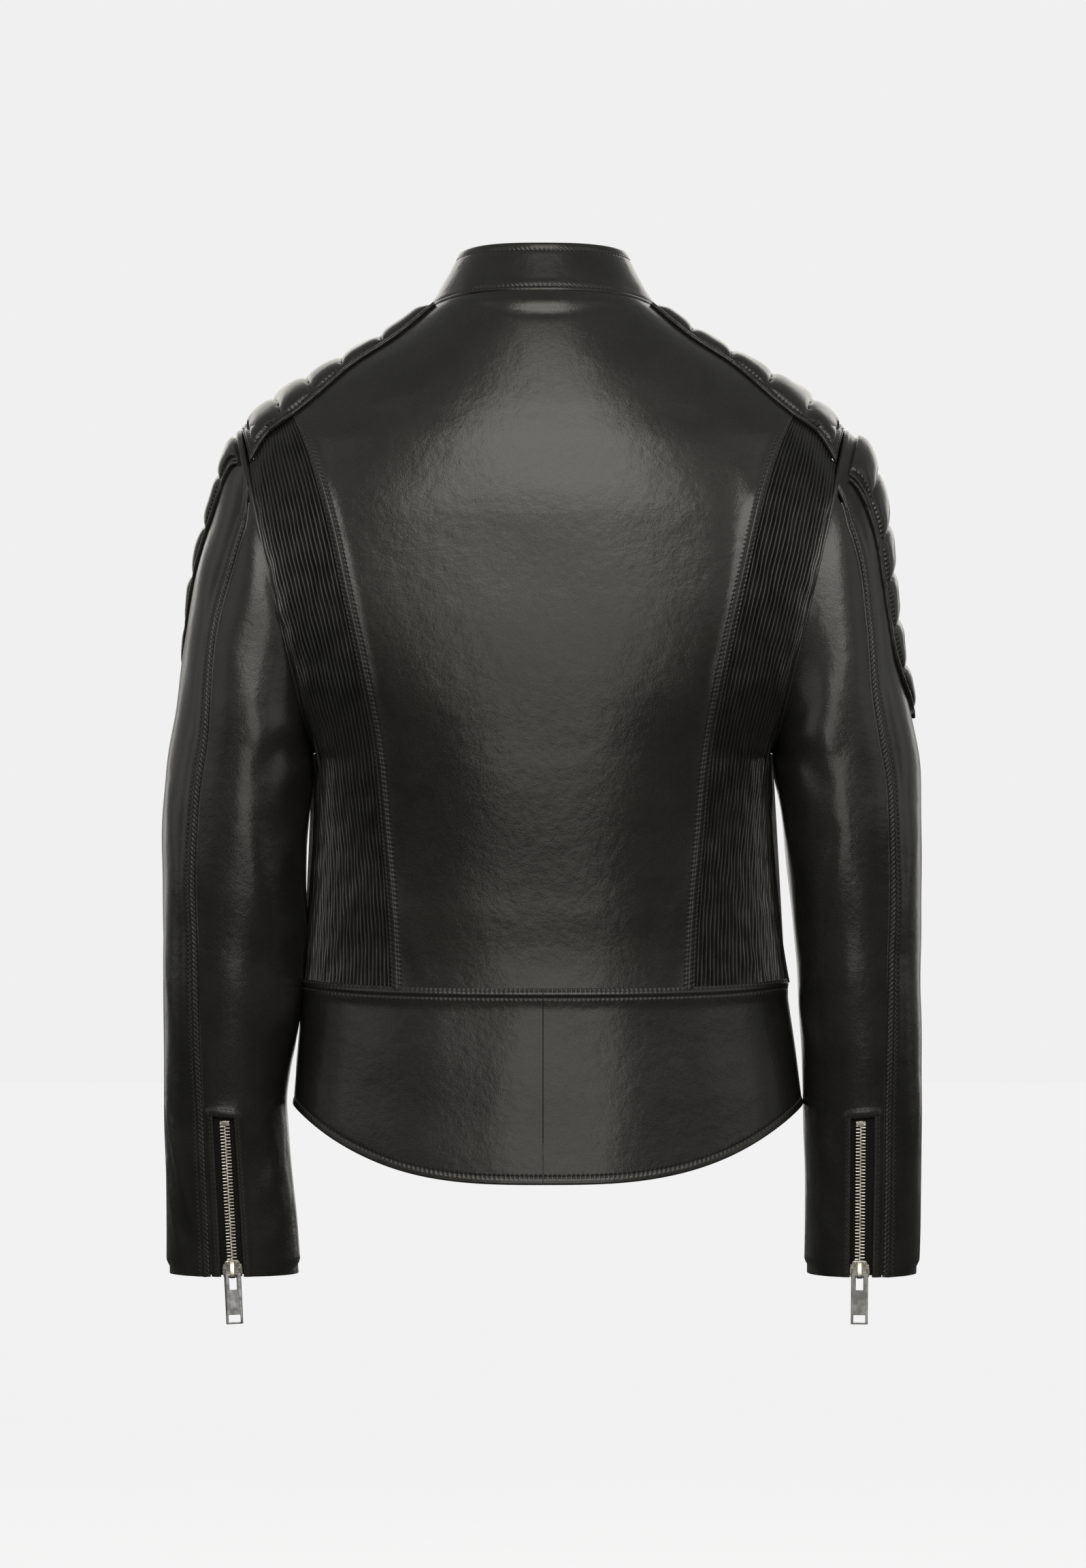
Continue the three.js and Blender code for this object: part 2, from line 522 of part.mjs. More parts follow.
// ---- Sleeves ---------------------------------------------------------------------------------
const sleeveRings = [0, 0.3, 0.8, 1.5, 2.2, 3, 3.8, 4.5, 5.2, 6, 7, 8.5, 10, SLEEVE_RINGS];
for (const [name, sleeve] of Object.entries(sleeves)) {
  const inside = (angle, ring) => sleevePoint(sleeve, 0, ring).lerp(sleevePoint(sleeve, 180, ring), 0.5);
  const panel = (from, to) => (s, ring) => sleevePoint(sleeve, lerp(from(ring), to(ring), s), ring);
  const middle = (s, ring) => inside(0, ring);
  const edge = 0.5; // degrees left free on each side of a seam
  const outer = panel((r) => FRONT_SEAM_ANGLE + edge, (r) => backSeamAngle(r) - edge);
  const under = panel((r) => backSeamAngle(r) + edge, (r) => 360 + FRONT_SEAM_ANGLE - edge);
  add(`sleeve_outer_${name}`, "leather", sheet(outer, steps(0, 1, 10), sleeveRings, 0, -LEATHER, middle));
  const underPanel = sheet(under, steps(0, 1, 8), sleeveRings, 0, -LEATHER, middle);

  // The cuff zip runs up the under panel beside the back seam, with its slider at the cuff's edge.
  const surface = (angle, ring) => sleevePoint(sleeve, angle, ring);
  const foot = surface(sleeve.zipAngle, SLEEVE_RINGS);
  const up = surface(sleeve.zipAngle, CUFF_ZIP_TOP_RING).sub(foot);
  const length = up.length();
  const out = normalOf(surface, sleeve.zipAngle, (SLEEVE_RINGS + CUFF_ZIP_TOP_RING) / 2, middle);
  const frame = zipFrame(foot, up, out);
  add(`sleeve_under_${name}`, "leather", withWindow(underPanel, frame, -10, length));
  addShortZip("cuff", name, frame, length, [8, length - 2], 6.5);

  // The quilted pad narrows to a round tip above the elbow.
  const halfWidth = through([[0.25, 47], [1, 44], [2, 39], [3, 34], [4, 28], [4.7, 18], [5.05, 8]]);
  const pad = (s, ring) => sleevePoint(sleeve, sleeve.quiltMiddle(ring) + s * halfWidth(ring), ring);
  const foamRings = [0.3, 0.8, 1.5, 2.2, 3, 3.8, 4.5, 4.75];
  const padStops = steps(-1, 1, 6);
  add(`sleeve_quilt_${name}`, "quilt", sheet(pad, padStops, [...foamRings, 5.05], 6, 4.3, middle));
  const foam = (s, ring) => pad(0.93 * s, ring);
  add(`sleeve_foam_${name}`, "foam", sheet(foam, padStops, foamRings, 3.5, 1.8, middle));
  const border = [
    ...[0.35, 1, 2, 3, 4, 4.7].map((ring) => [1.08, ring]),
    [0.9, 5.1], [0, 5.24], [-0.9, 5.1],
    ...[4.7, 4, 3, 2, 1, 0.35].map((ring) => [-1.08, ring]),
  ];
  const run = border.map(([s, ring]) => pad(s, ring).addScaledVector(normalOf(pad, s, ring, middle), 2.6));
  add(`sleeve_piping_${name}`, "leather", cord(run, 1.4, 5, 24));

  const angles = steps(0, 360, 12).slice(0, -1); // a tube closes on its first angle
  add(`sleeve_lining_${name}`, "lining", tube(surface, angles, [1, 2, 3, 4.5, 6, 8, 9.5, 10.8], -7, -7 - LINING, inside));
}

// ---- Collar tab and its snap -----------------------------------------------------------------
// The tab is sewn to the left collar end and reaches across the opening to a snap on the right.
// In its group +X runs along the tab and +Z points away from the collar.
const tab = { height: 20, thickness: 2.4, standOff: 3, rise: 0.45, past: 4 };
const snap = { fromEnd: 9, capRadius: 6.5, capHeight: 1.6, studRadius: 4.5, studHeight: 2 };
const tabRoot = collarPoint(0.9 * Math.PI, tab.rise);
const tabReach = 2 * tabRoot.x + tab.past;
const tabOut = vector(0, -1, 0.25).normalize();
const tabGroup = new THREE.Group();
tabGroup.applyMatrix4(
  new THREE.Matrix4()
    .makeBasis(vector(-1, 0, 0), vector(1, 0, 0).cross(tabOut), tabOut)
    .setPosition(tabRoot.x, collarPoint(Math.PI, tab.rise).y, tabRoot.z),
);
jacket.add(tabGroup);

const roundAt = tabReach - tab.height / 2;
const tabShape = new THREE.Shape();
tabShape.moveTo(0, -tab.height / 2);
tabShape.lineTo(roundAt, -tab.height / 2);
tabShape.absarc(roundAt, 0, tab.height / 2, -Math.PI / 2, Math.PI / 2);
tabShape.lineTo(0, tab.height / 2);
const tabPlate = new THREE.ExtrudeGeometry(tabShape, { depth: tab.thickness, bevelEnabled: false, curveSegments: 8 });
add("collar_tab", "leather", tabPlate.translate(0, 0, tab.standOff), tabGroup);

function disc(radius, height, foot) {
  const turned = new THREE.CylinderGeometry(radius, radius, height, 20).rotateX(Math.PI / 2);
  return turned.translate(tabReach - snap.fromEnd, 0, foot + height / 2);
}
add("snap_cap", "nickel", disc(snap.capRadius, snap.capHeight, tab.standOff + tab.thickness + 0.3), tabGroup);
add("snap_stud", "nickel", disc(snap.studRadius, snap.studHeight, 0.6), tabGroup);

export default jacket;
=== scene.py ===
import json
import math

import bmesh
import bpy
import numpy as np
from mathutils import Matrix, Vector

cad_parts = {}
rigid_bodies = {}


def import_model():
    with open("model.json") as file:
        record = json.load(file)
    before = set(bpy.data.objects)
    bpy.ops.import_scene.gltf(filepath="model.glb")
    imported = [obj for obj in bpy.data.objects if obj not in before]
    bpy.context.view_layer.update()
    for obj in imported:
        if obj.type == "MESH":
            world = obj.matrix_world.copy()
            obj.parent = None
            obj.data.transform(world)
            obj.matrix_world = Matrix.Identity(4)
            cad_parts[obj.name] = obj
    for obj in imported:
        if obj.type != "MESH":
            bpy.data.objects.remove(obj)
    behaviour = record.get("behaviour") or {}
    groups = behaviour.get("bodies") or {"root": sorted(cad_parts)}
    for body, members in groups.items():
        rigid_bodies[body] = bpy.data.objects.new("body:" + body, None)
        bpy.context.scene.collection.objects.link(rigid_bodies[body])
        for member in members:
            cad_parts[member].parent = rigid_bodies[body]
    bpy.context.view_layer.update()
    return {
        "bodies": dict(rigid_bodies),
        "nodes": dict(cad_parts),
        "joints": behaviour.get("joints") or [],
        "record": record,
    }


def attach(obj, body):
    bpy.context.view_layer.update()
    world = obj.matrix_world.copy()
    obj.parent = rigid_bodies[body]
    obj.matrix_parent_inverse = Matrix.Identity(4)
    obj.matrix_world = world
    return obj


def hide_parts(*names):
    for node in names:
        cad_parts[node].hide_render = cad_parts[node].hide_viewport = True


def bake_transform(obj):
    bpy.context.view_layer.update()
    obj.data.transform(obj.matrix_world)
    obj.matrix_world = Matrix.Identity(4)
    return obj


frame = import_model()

LOOP_AT = np.array([0, -9, 8])  # the frame's origin, under the hanger loop
NECK, TIP, UNDERARM, WAIST, HEM = 0, 4, 8, 11, 12  # levels of the torso
YOKE_END = 4.475  # level where the shoulder piping meets the armhole
RIBS_START = 3.55  # level where the ribbed panel starts on the piping
SIDE_Y = -62  # the shoulder line and the side seams
ARMHOLE_TOP = (222, -97)
ARMHOLE_BOTTOM = (167, -335)
ARMHOLE_HALF_DEPTH = 70
ARMHOLE_CLEARANCE = 1
SHAPE_POWER = 2.3  # of the rounded rectangles that the body and the sleeves have for sections
LEATHER = 1.8  # its thickness
LINING_DEPTH = 9
ARM_LINING_DEPTH = 7
POCKET_BAG_DEPTH = 6.0
CUFF_RING = 11  # rings count down a sleeve, from 0 at the armhole
CUFF_ZIP_TOP = 9.72
FRONT_SEAM_ANGLE = -105
UNDER_PANEL_END = 254.5  # where the under sleeve meets the front seam again
STITCH_PITCH = 3.4
NO_SEAM = 50.0  # the distance to a row of stitches where there is none near
SAMPLES = 161  # points on a line that is only measured
SIDES = {"left": 1, "right": -1}


# ---- Small mathematics -----------------------------------------------------------------------
def through(values, at=None):
    """A smooth curve that never overshoots its values, at these positions or at 0, 1, 2 and so on."""
    y = np.array(values, float)
    x = np.arange(len(y), dtype=float) if at is None else np.array(at, float)
    step = np.diff(y) / np.diff(x)
    product, total = step[:-1] * step[1:], step[:-1] + step[1:]
    inner = np.where(product <= 0, 0, 2 * product / np.where(total == 0, 1, total))
    slope = np.concatenate([step[:1], inner, step[-1:]])

    def curve(at):
        at = np.asarray(at, float)
        i = np.clip(np.searchsorted(x, at) - 1, 0, len(x) - 2)
        span = x[i + 1] - x[i]
        t = np.clip((at - x[i]) / span, 0, 1)
        rise = (y[i + 1] - y[i]) * t * t * (3 - 2 * t)
        return y[i] + rise + span * t * (1 - t) * (slope[i] * (1 - t) - slope[i + 1] * t)

    return curve


def lerp(a, b, t):
    return a + (b - a) * t


def smooth(low, high, x):
    t = np.clip((x - low) / (high - low), 0, 1)
    return t * t * (3 - 2 * t)


def bell(x, width):
    return np.exp(-((x / width) ** 2))


def unit(v):
    return v / np.maximum(np.linalg.norm(v, axis=-1, keepdims=True), 1e-12)


def lengths(points):
    """How far along a line each of its points is."""
    return np.concatenate([[0], np.cumsum(np.linalg.norm(np.diff(points, axis=0), axis=1))])


def softened(values, width):
    """Values along a line, each averaged with its neighbours."""
    kernel = np.hanning(width) / np.hanning(width).sum()
    return np.convolve(np.pad(values, width // 2, mode="edge"), kernel, "valid")


def metres(points):
    return (np.asarray(points, float) - LOOP_AT) / 1000


def waves(points, wavelength, seed, count=7):
    """Smooth, irregular undulation of about unit height."""
    draw = np.random.default_rng(seed)
    total = 0
    for _ in range(count):
        direction = unit(draw.normal(size=3))
        turns = points @ direction * 2 * math.pi / (wavelength * draw.uniform(0.7, 1.5))
        total = total + np.sin(turns + draw.uniform(0, 2 * math.pi))
    return total / math.sqrt(count)


# ---- The torso surface -----------------------------------------------------------------------
shoulder_x = through((84, 118, 152, 190, 222))
shoulder_z = through((-9, -31, -50, -71.5, -97))
lower_x = {1: (167.5, 170.5, 175.5, 183.5), -1: (167.5, 171.5, 178.5, 190.5)}
side_x = {side: through((167, *lower), range(UNDERARM, HEM + 1)) for side, lower in lower_x.items()}
side_z = through((-335, -390, -445, -501, -592), range(8, 13))
back_y = through((5, 17, 25, 31, 35, 38, 38, 30, 18, 14, 16), (0, 1, 2, 3, 4, 5, 6, 8, 10, 11, 12))
back_z = through((0, -32, -60, -88, -118, -228, -337, -447, -506, -646), (0, 1, 2, 3, 4, 6, 8, 10, 11, 12))
front_z = through(
    (-78, -104, -131, -158, -187, -262, -343, -448, -505, -600), (0, 1, 2, 3, 4, 6, 8, 10, 11, 12)
)


def front_y(z):
    return -136 + 0.1 * (z + 78)


def ring_end(side, level, back):
    """Where a half ring ends: on the shoulder line, on the armhole's edge or on the side seam."""
    level = np.asarray(level, float)
    down = np.clip((level - TIP) / (UNDERARM - TIP), 0, 1)
    reach = ARMHOLE_HALF_DEPTH * np.sqrt(np.maximum(0, 1 - (2 * down - 1) ** 2))
    low_x = np.where(np.asarray(side) > 0, side_x[1](level), side_x[-1](level))
    x = np.where(level > UNDERARM, low_x, lerp(ARMHOLE_TOP[0], ARMHOLE_BOTTOM[0], down))
    z = np.where(level > UNDERARM, side_z(level), lerp(ARMHOLE_TOP[1], ARMHOLE_BOTTOM[1], down))
    x = np.where(level < TIP, shoulder_x(level), x)
    z = np.where(level < TIP, shoulder_z(level), z)
    return x, SIDE_Y + np.where(back, reach, -reach), z


even_x = (84, 118, 152, 184, 204, 203, 192, 179, 167)
even_side_x = {side: through(even_x + lower) for side, lower in lower_x.items()}
even_reach = through((0, 0, 6, 24, 55, 68, 60, 30, 8, 0, 0), (0, 2.4, 3.2, 4, 5, 6, 7, 8, 9, 10, 12))
even_side_z = through((-9, -31, -50, -71.5, -101, -156.5, -216, -275.5, -335, -390, -445, -501, -592))


def even_end(side, level, back):
    """ring_end() without the kinks at the armhole's ends, for the leather well inside it."""
    x = np.where(np.asarray(side) > 0, even_side_x[1](level), even_side_x[-1](level))
    return x, SIDE_Y + np.where(back, even_reach(level), -even_reach(level)), even_side_z(level)


def across_at(share):
    return np.sin(np.abs(share) * math.pi / 2) ** (2 / SHAPE_POWER)


def torso_point(side, back, share, level):
    """share runs from 0 at the middle of the back or front to 1 at the ring's end."""
    ends = zip(even_end(side, level, back), ring_end(side, level, back))
    x, y, z = (lerp(even, end, np.abs(share) ** 6) for even, end in ends)
    middle_z = np.where(back, back_z(level), front_z(level))
    middle_y = np.where(back, back_y(level), front_y(middle_z))
    across = across_at(share)
    deep = np.maximum(0, np.cos(np.abs(share) * math.pi / 2)) ** (2 / SHAPE_POWER)
    sign = np.where(np.asarray(share) < 0, -1, 1)
    parts = (side * sign * x * across, y + (middle_y - y) * deep, z + (middle_z - z) * (1 - across**3))
    return np.stack(np.broadcast_arrays(*parts), axis=-1)


def share_at(x, side, level, back):
    """The share where the surface is this far from the middle, by halving."""
    even, end = even_end(side, level, back)[0], ring_end(side, level, back)[0]
    low = 0 * (even + x)
    high = low + 1
    for _ in range(18):
        share = (low + high) / 2
        short = lerp(even, end, share**6) * across_at(share) < x
        low, high = np.where(short, share, low), np.where(short, high, share)
    return (low + high) / 2


piping_x = through((77, 106, 138, 165, 182, 199, 213), (0, 1, 2, 3, RIBS_START, 4, YOKE_END))
rib_seam_x = through((182, 174, 157, 144, 132, 122, 117, 112.5, 110), (RIBS_START, 4, 5, 6, 7, 8, 9, 10, 11))


def piping_share(level, back):
    return np.where(np.asarray(level) >= YOKE_END, 1, share_at(piping_x(level), 1, level, back))


def rib_seam_share(side, level):
    return share_at(rib_seam_x(level), side, level, True)


def in_torso(points):
    """A point well inside the torso for each of these."""
    return np.stack([0 * points[..., 0], 0 * points[..., 0] + SIDE_Y, points[..., 2] - 30], axis=-1)


# ---- The collar surface ----------------------------------------------------------------------
COLLAR_TOP = {"half_width": 61, "back_y": -9, "front_y": -121, "back_z": 36, "side_z": 33, "front_z": -40}


def collar_point(angle, rise):
    """angle is 0 at the middle of the back and pi at the front; rise is 0 at the neck seam."""
    angle, rise = np.broadcast_arrays(np.asarray(angle, float), np.asarray(rise, float))
    side = np.where(angle < 0, -1, 1)
    back = np.abs(angle) <= math.pi / 2
    share = np.where(back, np.abs(angle), math.pi - np.abs(angle)) * 2 / math.pi
    base = torso_point(side, back, share, NECK)
    across = np.sin(share * math.pi / 2) ** (2 / SHAPE_POWER)
    deep = np.maximum(0, np.cos(share * math.pi / 2)) ** (2 / SHAPE_POWER)
    y = np.where(back, COLLAR_TOP["back_y"], COLLAR_TOP["front_y"])
    z = np.where(back, COLLAR_TOP["back_z"], COLLAR_TOP["front_z"])
    top = np.stack([
        side * COLLAR_TOP["half_width"] * across,
        SIDE_Y + (y - SIDE_Y) * deep,
        COLLAR_TOP["side_z"] + (z - COLLAR_TOP["side_z"]) * (1 - across**4),
    ], axis=-1)
    return lerp(base, top, rise[..., None])


def in_collar(points):
    return np.stack([0 * points[..., 0], 0 * points[..., 0] + SIDE_Y, points[..., 2]], axis=-1)


# ---- The sleeve surfaces ---------------------------------------------------------------------
outer_z = through((-97, -118, -160, -205, -255, -300, -350, -410, -470, -540, -620, -717))
inner_z = through((-335, -341, -347, -356, -372, -396, -428, -467, -507, -557, -624, -717))
centre_y = through((-62, -58, -54, -53, -58, -63, -70, -78), (0, 2, 4, 6, 8, 9, 10, 11))
back_seam_angle = through((55, 62, 61, 66, 66, 69, 72, 75, 75), (0, 1, 3, 5, 7, 8, 9, 10, 11))
SLEEVES = {
    "left": {
        "side": 1,
        "outer_x": through(
            (222, 230, 242, 254, 262, 267, 275, 278, 277.5, 276), (0, 1, 2, 3, 4, 5, 6, 7, 9, 11)
        ),
        "inner_x": through((167, 168, 169, 170.5, 174, 176.5, 182, 188, 177.5), (0, 1, 2, 3, 5, 6, 8, 9.4, 11)),
        "half_depth": through((70, 68, 63, 57, 51, 47, 42), (0, 3, 5, 7, 9, 10, 11)),
        "quilt_middle": through((-6, -20, -26, -32, -36, -39, -40)),
        "rest_on_body": through(
            (0, 1.6, 2.4, 2.2, 2.3, 4.8, 6.8, 7.2, 7.2, 5.8, 2.6, 0, 0),
            (0, 1, 3, 4.5, 5, 6.1, 6.7, 7.3, 8.3, 8.8, 9.2, 9.6, 12),
        ),
        "zip_angle": 91,
    },
    "right": {
        "side": -1,
        "outer_x": through(
            (222, 232, 238, 248.5, 253, 258.5, 268, 275.5, 276.5, 278, 276),
            (0, 0.5, 1, 2, 3, 4, 5, 6, 9, 10, 11),
        ),
        "inner_x": through(
            (167, 168, 169, 170.5, 175.5, 179, 187, 189.5, 191.5, 192), (0, 1, 2, 3, 5, 6, 8, 9, 10, 11)
        ),
        "half_depth": through((70, 68, 63, 57, 51, 48, 46), (0, 3, 5, 7, 9, 10, 11)),
        "quilt_middle": through((-2, -2), (0, 6)),
        "rest_on_body": through((0, 1.0, 1.2, 0, 0, 1, 0, 0), (0, 1, 3, 4.5, 7.5, 8.3, 9.0, 12)),
        "zip_angle": 94,
    },
}


def sleeve_point(sleeve, angle, ring):
    """angle is 0 at the outside of the arm, 90 at the back and 180 at the body side."""
    turn = np.radians(angle)
    power = 2 / SHAPE_POWER
    along = np.sign(np.cos(turn)) * np.abs(np.cos(turn)) ** power
    deep = np.sign(np.sin(turn)) * np.abs(np.sin(turn)) ** power
    share = (1 + along) / 2
    x = lerp(sleeve["inner_x"](ring), sleeve["outer_x"](ring), share) + ARMHOLE_CLEARANCE
    y = centre_y(ring) + sleeve["half_depth"](ring) * deep
    parts = (sleeve["side"] * x, y, lerp(inner_z(ring), outer_z(ring), share))
    return np.stack(np.broadcast_arrays(*parts), axis=-1)


def arm_middle(sleeve, ring):
    return (sleeve_point(sleeve, 0, ring) + sleeve_point(sleeve, 180, ring)) / 2


def facing(surface, u, v, step, inside):
    """The outward normal of surface(u, v) at one place."""
    near = [surface(u + a, v + b) for a, b in ((step, 0), (-step, 0), (0, 0.05), (0, -0.05))]
    out = unit(np.cross(near[0] - near[1], near[2] - near[3]))
    return out if (out * (near[0] - inside)).sum() > 0 else -out


# ---- Grids on a surface ----------------------------------------------------------------------
EDGE = (0, 0.15, 0.4, 0.8, 1.3, 1.9)  # distances from an edge at which its rounding is drawn


def places(total, start, end, step, fine=0.7):
    """Distances along lines of these lengths, close together within start and end of their ends."""
    total = np.atleast_1d(total)[:, None]
    low = np.concatenate([EDGE, np.arange(2.6, max(start, 2.6), fine)])
    high = np.concatenate([EDGE, np.arange(2.6, max(end, 2.6), fine)])
    taken = low[-1] + high[-1]
    squeeze = np.minimum(1, 0.8 * total / taken)
    count = max(3, math.ceil((total.max() - taken) / step) + 1)
    middle = np.linspace(0, 1, count)[1:-1]
    run = low[-1] * squeeze + middle * (total - taken * squeeze)
    return np.concatenate([low * squeeze, run, total - high[::-1] * squeeze], axis=1)


def knots(total, start, end, step, gap=None):
    """places() for one line, and also close together on both outer sides of a gap in it."""
    spots = places(total, start, end, step)[0]
    for edge, way in () if gap is None else ((gap[0], -1), (gap[1], 1)):
        if 1e-6 < edge < total - 1e-6:
            out = (spots - edge) * way
            fine = edge + way * np.concatenate([EDGE, np.arange(2.6, 8, 0.7)])
            spots = np.sort(np.concatenate([spots[(out < -1) | (out > 8.2)], fine]))
    return spots[(spots >= 0) & (spots <= total)]


class Grid:
    """A fine grid on surface(s, t), with the real distance of each point from each edge."""

    def __init__(self, surface, inside, s_range=(0, 1), t_range=(0, 1), step=2.6, bands=(2, 2, 2, 2),
                 columns=None, hole=None):
        left, right, top, bottom = bands
        fine_s, fine_t = np.linspace(*s_range, SAMPLES), np.linspace(*t_range, SAMPLES)
        spots = np.linspace(*s_range, 5)[1:-1]
        run = np.mean([lengths(surface(np.full(SAMPLES, s), fine_t)) for s in spots], axis=0)
        gap = None if hole is None else np.interp(hole[2:], fine_t, run)
        t = np.interp(knots(run[-1], top, bottom, step, gap), run, fine_t)
        if hole is not None:
            across = lengths(surface(fine_s, np.full(SAMPLES, (hole[2] + hole[3]) / 2)))
            spots = knots(across[-1], left, right, step, np.interp(hole[:2], fine_s, across))
            columns = np.interp(spots, across, fine_s)
        if columns is None:
            dense = surface(*np.meshgrid(fine_s, t))
            across = np.stack([lengths(row) for row in dense])
            targets = places(across[:, -1], left, right, step)
            self.s = np.stack([np.interp(a, b, fine_s) for a, b in zip(targets, across)])
        else:
            self.s = np.broadcast_to(columns, (len(t), len(columns)))
        self.columns, self.rows, self.hole = columns, t, hole
        self.t = np.broadcast_to(t[:, None], self.s.shape)
        self.base = surface(self.s, self.t)
        self.normal = self.normals_of(self.base)
        outward = (self.normal * (self.base - inside(self.base))).sum(-1)
        self.flip = outward.sum() < 0
        if self.flip:
            self.normal = -self.normal
        self.measure()
        self.lift(0 * self.s)

    @staticmethod
    def normals_of(points):
        """Normals by differences along the grid's rows and columns."""
        along = []
        for axis in (1, 0):
            step = unit(np.diff(points, axis=axis))
            pad = [(0, 0)] * 3
            pad[axis] = (1, 1)
            step = np.pad(step, pad, mode="edge")
            n = points.shape[axis]
            along.append(np.take(step, range(n), axis) + np.take(step, range(1, n + 1), axis))
        return unit(np.cross(along[0], along[1]))

    def measure(self):
        step_s = np.linalg.norm(np.diff(self.base, axis=1), axis=-1)
        step_t = np.linalg.norm(np.diff(self.base, axis=0), axis=-1)
        self.left = np.pad(np.cumsum(step_s, axis=1), [(0, 0), (1, 0)])
        self.right = self.left[:, -1:] - self.left
        self.top = np.pad(np.cumsum(step_t, axis=0), [(1, 0), (0, 0)])
        self.bottom = self.top[-1:] - self.top
        self.edge = np.minimum(np.minimum(self.left, self.right), np.minimum(self.top, self.bottom))
        self.row = np.full(self.s.shape, NO_SEAM)
        self.run = self.left.copy()
        self.seams = []
        self.kept = np.ones((self.s.shape[0] - 1, self.s.shape[1] - 1), bool)
        if self.hole is not None:
            self.window = self.hole_distance()
            self.edge = np.minimum(self.edge, self.window)
            s = (self.columns[1:] + self.columns[:-1]) / 2
            t = (self.rows[1:] + self.rows[:-1]) / 2
            in_s, in_t = (s > self.hole[0]) & (s < self.hole[1]), (t > self.hole[2]) & (t < self.hole[3])
            self.kept = ~(in_t[:, None] & in_s[None, :])

    def hole_distance(self):
        """How far each point outside the hole is from it."""
        def beyond(far, places, ends):
            low, high = (np.array([np.interp(end, places, line) for line in far])[:, None] for end in ends)
            return np.maximum(0, np.maximum(low - far, far - high))

        across = beyond(self.left, self.columns, self.hole[:2])
        return np.hypot(across, beyond(self.top.T, self.rows, self.hole[2:]).T)

    def at(self, s, t):
        """Points and outward normals at these places, on a grid with the same columns in every row."""
        i = np.clip(np.interp(t, self.rows, np.arange(len(self.rows))), 0, len(self.rows) - 1.001)
        j = np.clip(np.interp(s, self.columns, np.arange(len(self.columns))), 0, len(self.columns) - 1.001)
        i0, j0 = i.astype(int), j.astype(int)
        u, v = (i - i0)[:, None], (j - j0)[:, None]
        found = []
        for field in (self.points, self.out):
            low = field[i0, j0] * (1 - v) + field[i0, j0 + 1] * v
            found.append(low * (1 - u) + (field[i0 + 1, j0] * (1 - v) + field[i0 + 1, j0 + 1] * v) * u)
        return found[0], unit(found[1])

    def lift(self, height):
        self.points = self.base + self.normal * height[..., None]
        out = self.normals_of(self.points)
        self.out = -out if self.flip else out

    def line(self, kind, distance, low=0, high=1):
        """Points and outward normals along the line at this distance from one of the grid's edges."""
        far, points, out = getattr(self, kind), self.points, self.out
        if kind in ("top", "bottom"):
            far, points, out = far.T, points.transpose(1, 0, 2), out.transpose(1, 0, 2)
        if kind in ("right", "bottom"):
            far, points, out = far[:, ::-1], points[:, ::-1], out[:, ::-1]
        both = np.concatenate([points, out], axis=-1)
        found = np.array([[np.interp(distance, f, b[:, k]) for k in range(6)] for f, b in zip(far, both)])
        along = lengths(found[:, :3])
        found = found[(along >= low * along[-1]) & (along <= high * along[-1])]
        return found[:, :3], unit(found[:, 3:])

    def stitch(self, kind, distance, low=0, high=1):
        """Marks a row of stitches, which pulls a groove into the surface."""
        far = np.abs(getattr(self, kind) - distance)
        lines = kind in ("left", "right")
        share = self.top / self.top[-1:] if lines else self.left / self.left[:, -1:]
        far = far + 40 * ((share < low) | (share > high))
        nearer = far < self.row
        self.row = np.where(nearer, far, self.row)
        self.run = np.where(nearer, self.top if lines else self.left, self.run)
        self.seams.append((kind, distance, low, high))
        return -0.45 * bell(far, 0.9)


def roll(distance, radius=1.1):
    """How far a turned edge falls away at this distance from the edge."""
    inward = radius - np.minimum(distance, radius)
    return np.sqrt(radius**2 - inward**2) - radius


# ---- Meshes ----------------------------------------------------------------------------------
def new_mesh(name, points, faces, marks=None, sharp=50):
    used = np.unique(np.concatenate([np.asarray(face) for face in faces]))
    if len(used) < len(points):
        place = np.zeros(len(points), int)
        place[used] = np.arange(len(used))
        points, faces = np.asarray(points)[used], [place[face].tolist() for face in faces]
        marks = {key: np.asarray(values)[used] for key, values in (marks or {}).items()}
    mesh = bpy.data.meshes.new(name)
    mesh.from_pydata(metres(points).tolist(), [], faces)
    for key, values in (marks or {}).items():
        mesh.attributes.new(key, "FLOAT", "POINT").data.foreach_set("value", np.asarray(values, np.float32))
    mesh.validate()
    body = bmesh.new()
    body.from_mesh(mesh)
    if body.calc_volume(signed=True) < 0:
        mesh.flip_normals()
    body.free()
    mesh.shade_smooth()
    mesh.set_sharp_from_angle(angle=math.radians(sharp))
    piece = bpy.data.objects.new(name, mesh)
    bpy.context.scene.collection.objects.link(piece)
    return piece


def rim_faces(top, low, kept):
    """The walls between two like grids of points, round the cells that are kept."""
    faces = []
    padded = np.pad(kept, 1)
    for i, j in np.argwhere(padded[1:-1, 1:] != padded[1:-1, :-1]):
        face = [top[i, j], top[i + 1, j], low[i + 1, j], low[i, j]]
        faces.append([int(k) for k in (face if padded[i + 1, j + 1] else face[::-1])])
    for i, j in np.argwhere(padded[1:, 1:-1] != padded[:-1, 1:-1]):
        face = [top[i, j], top[i, j + 1], low[i, j + 1], low[i, j]]
        faces.append([int(k) for k in (face[::-1] if padded[i + 1, j + 1] else face)])
    return faces


def cell_faces(at, kept, turned=False):
    """The faces of a grid's cells that are kept, turned round for an underside."""
    a, b, c, d = at[:-1, :-1], at[:-1, 1:], at[1:, 1:], at[1:, :-1]
    return np.stack((a, d, c, b) if turned else (a, b, c, d), axis=-1)[kept].tolist()


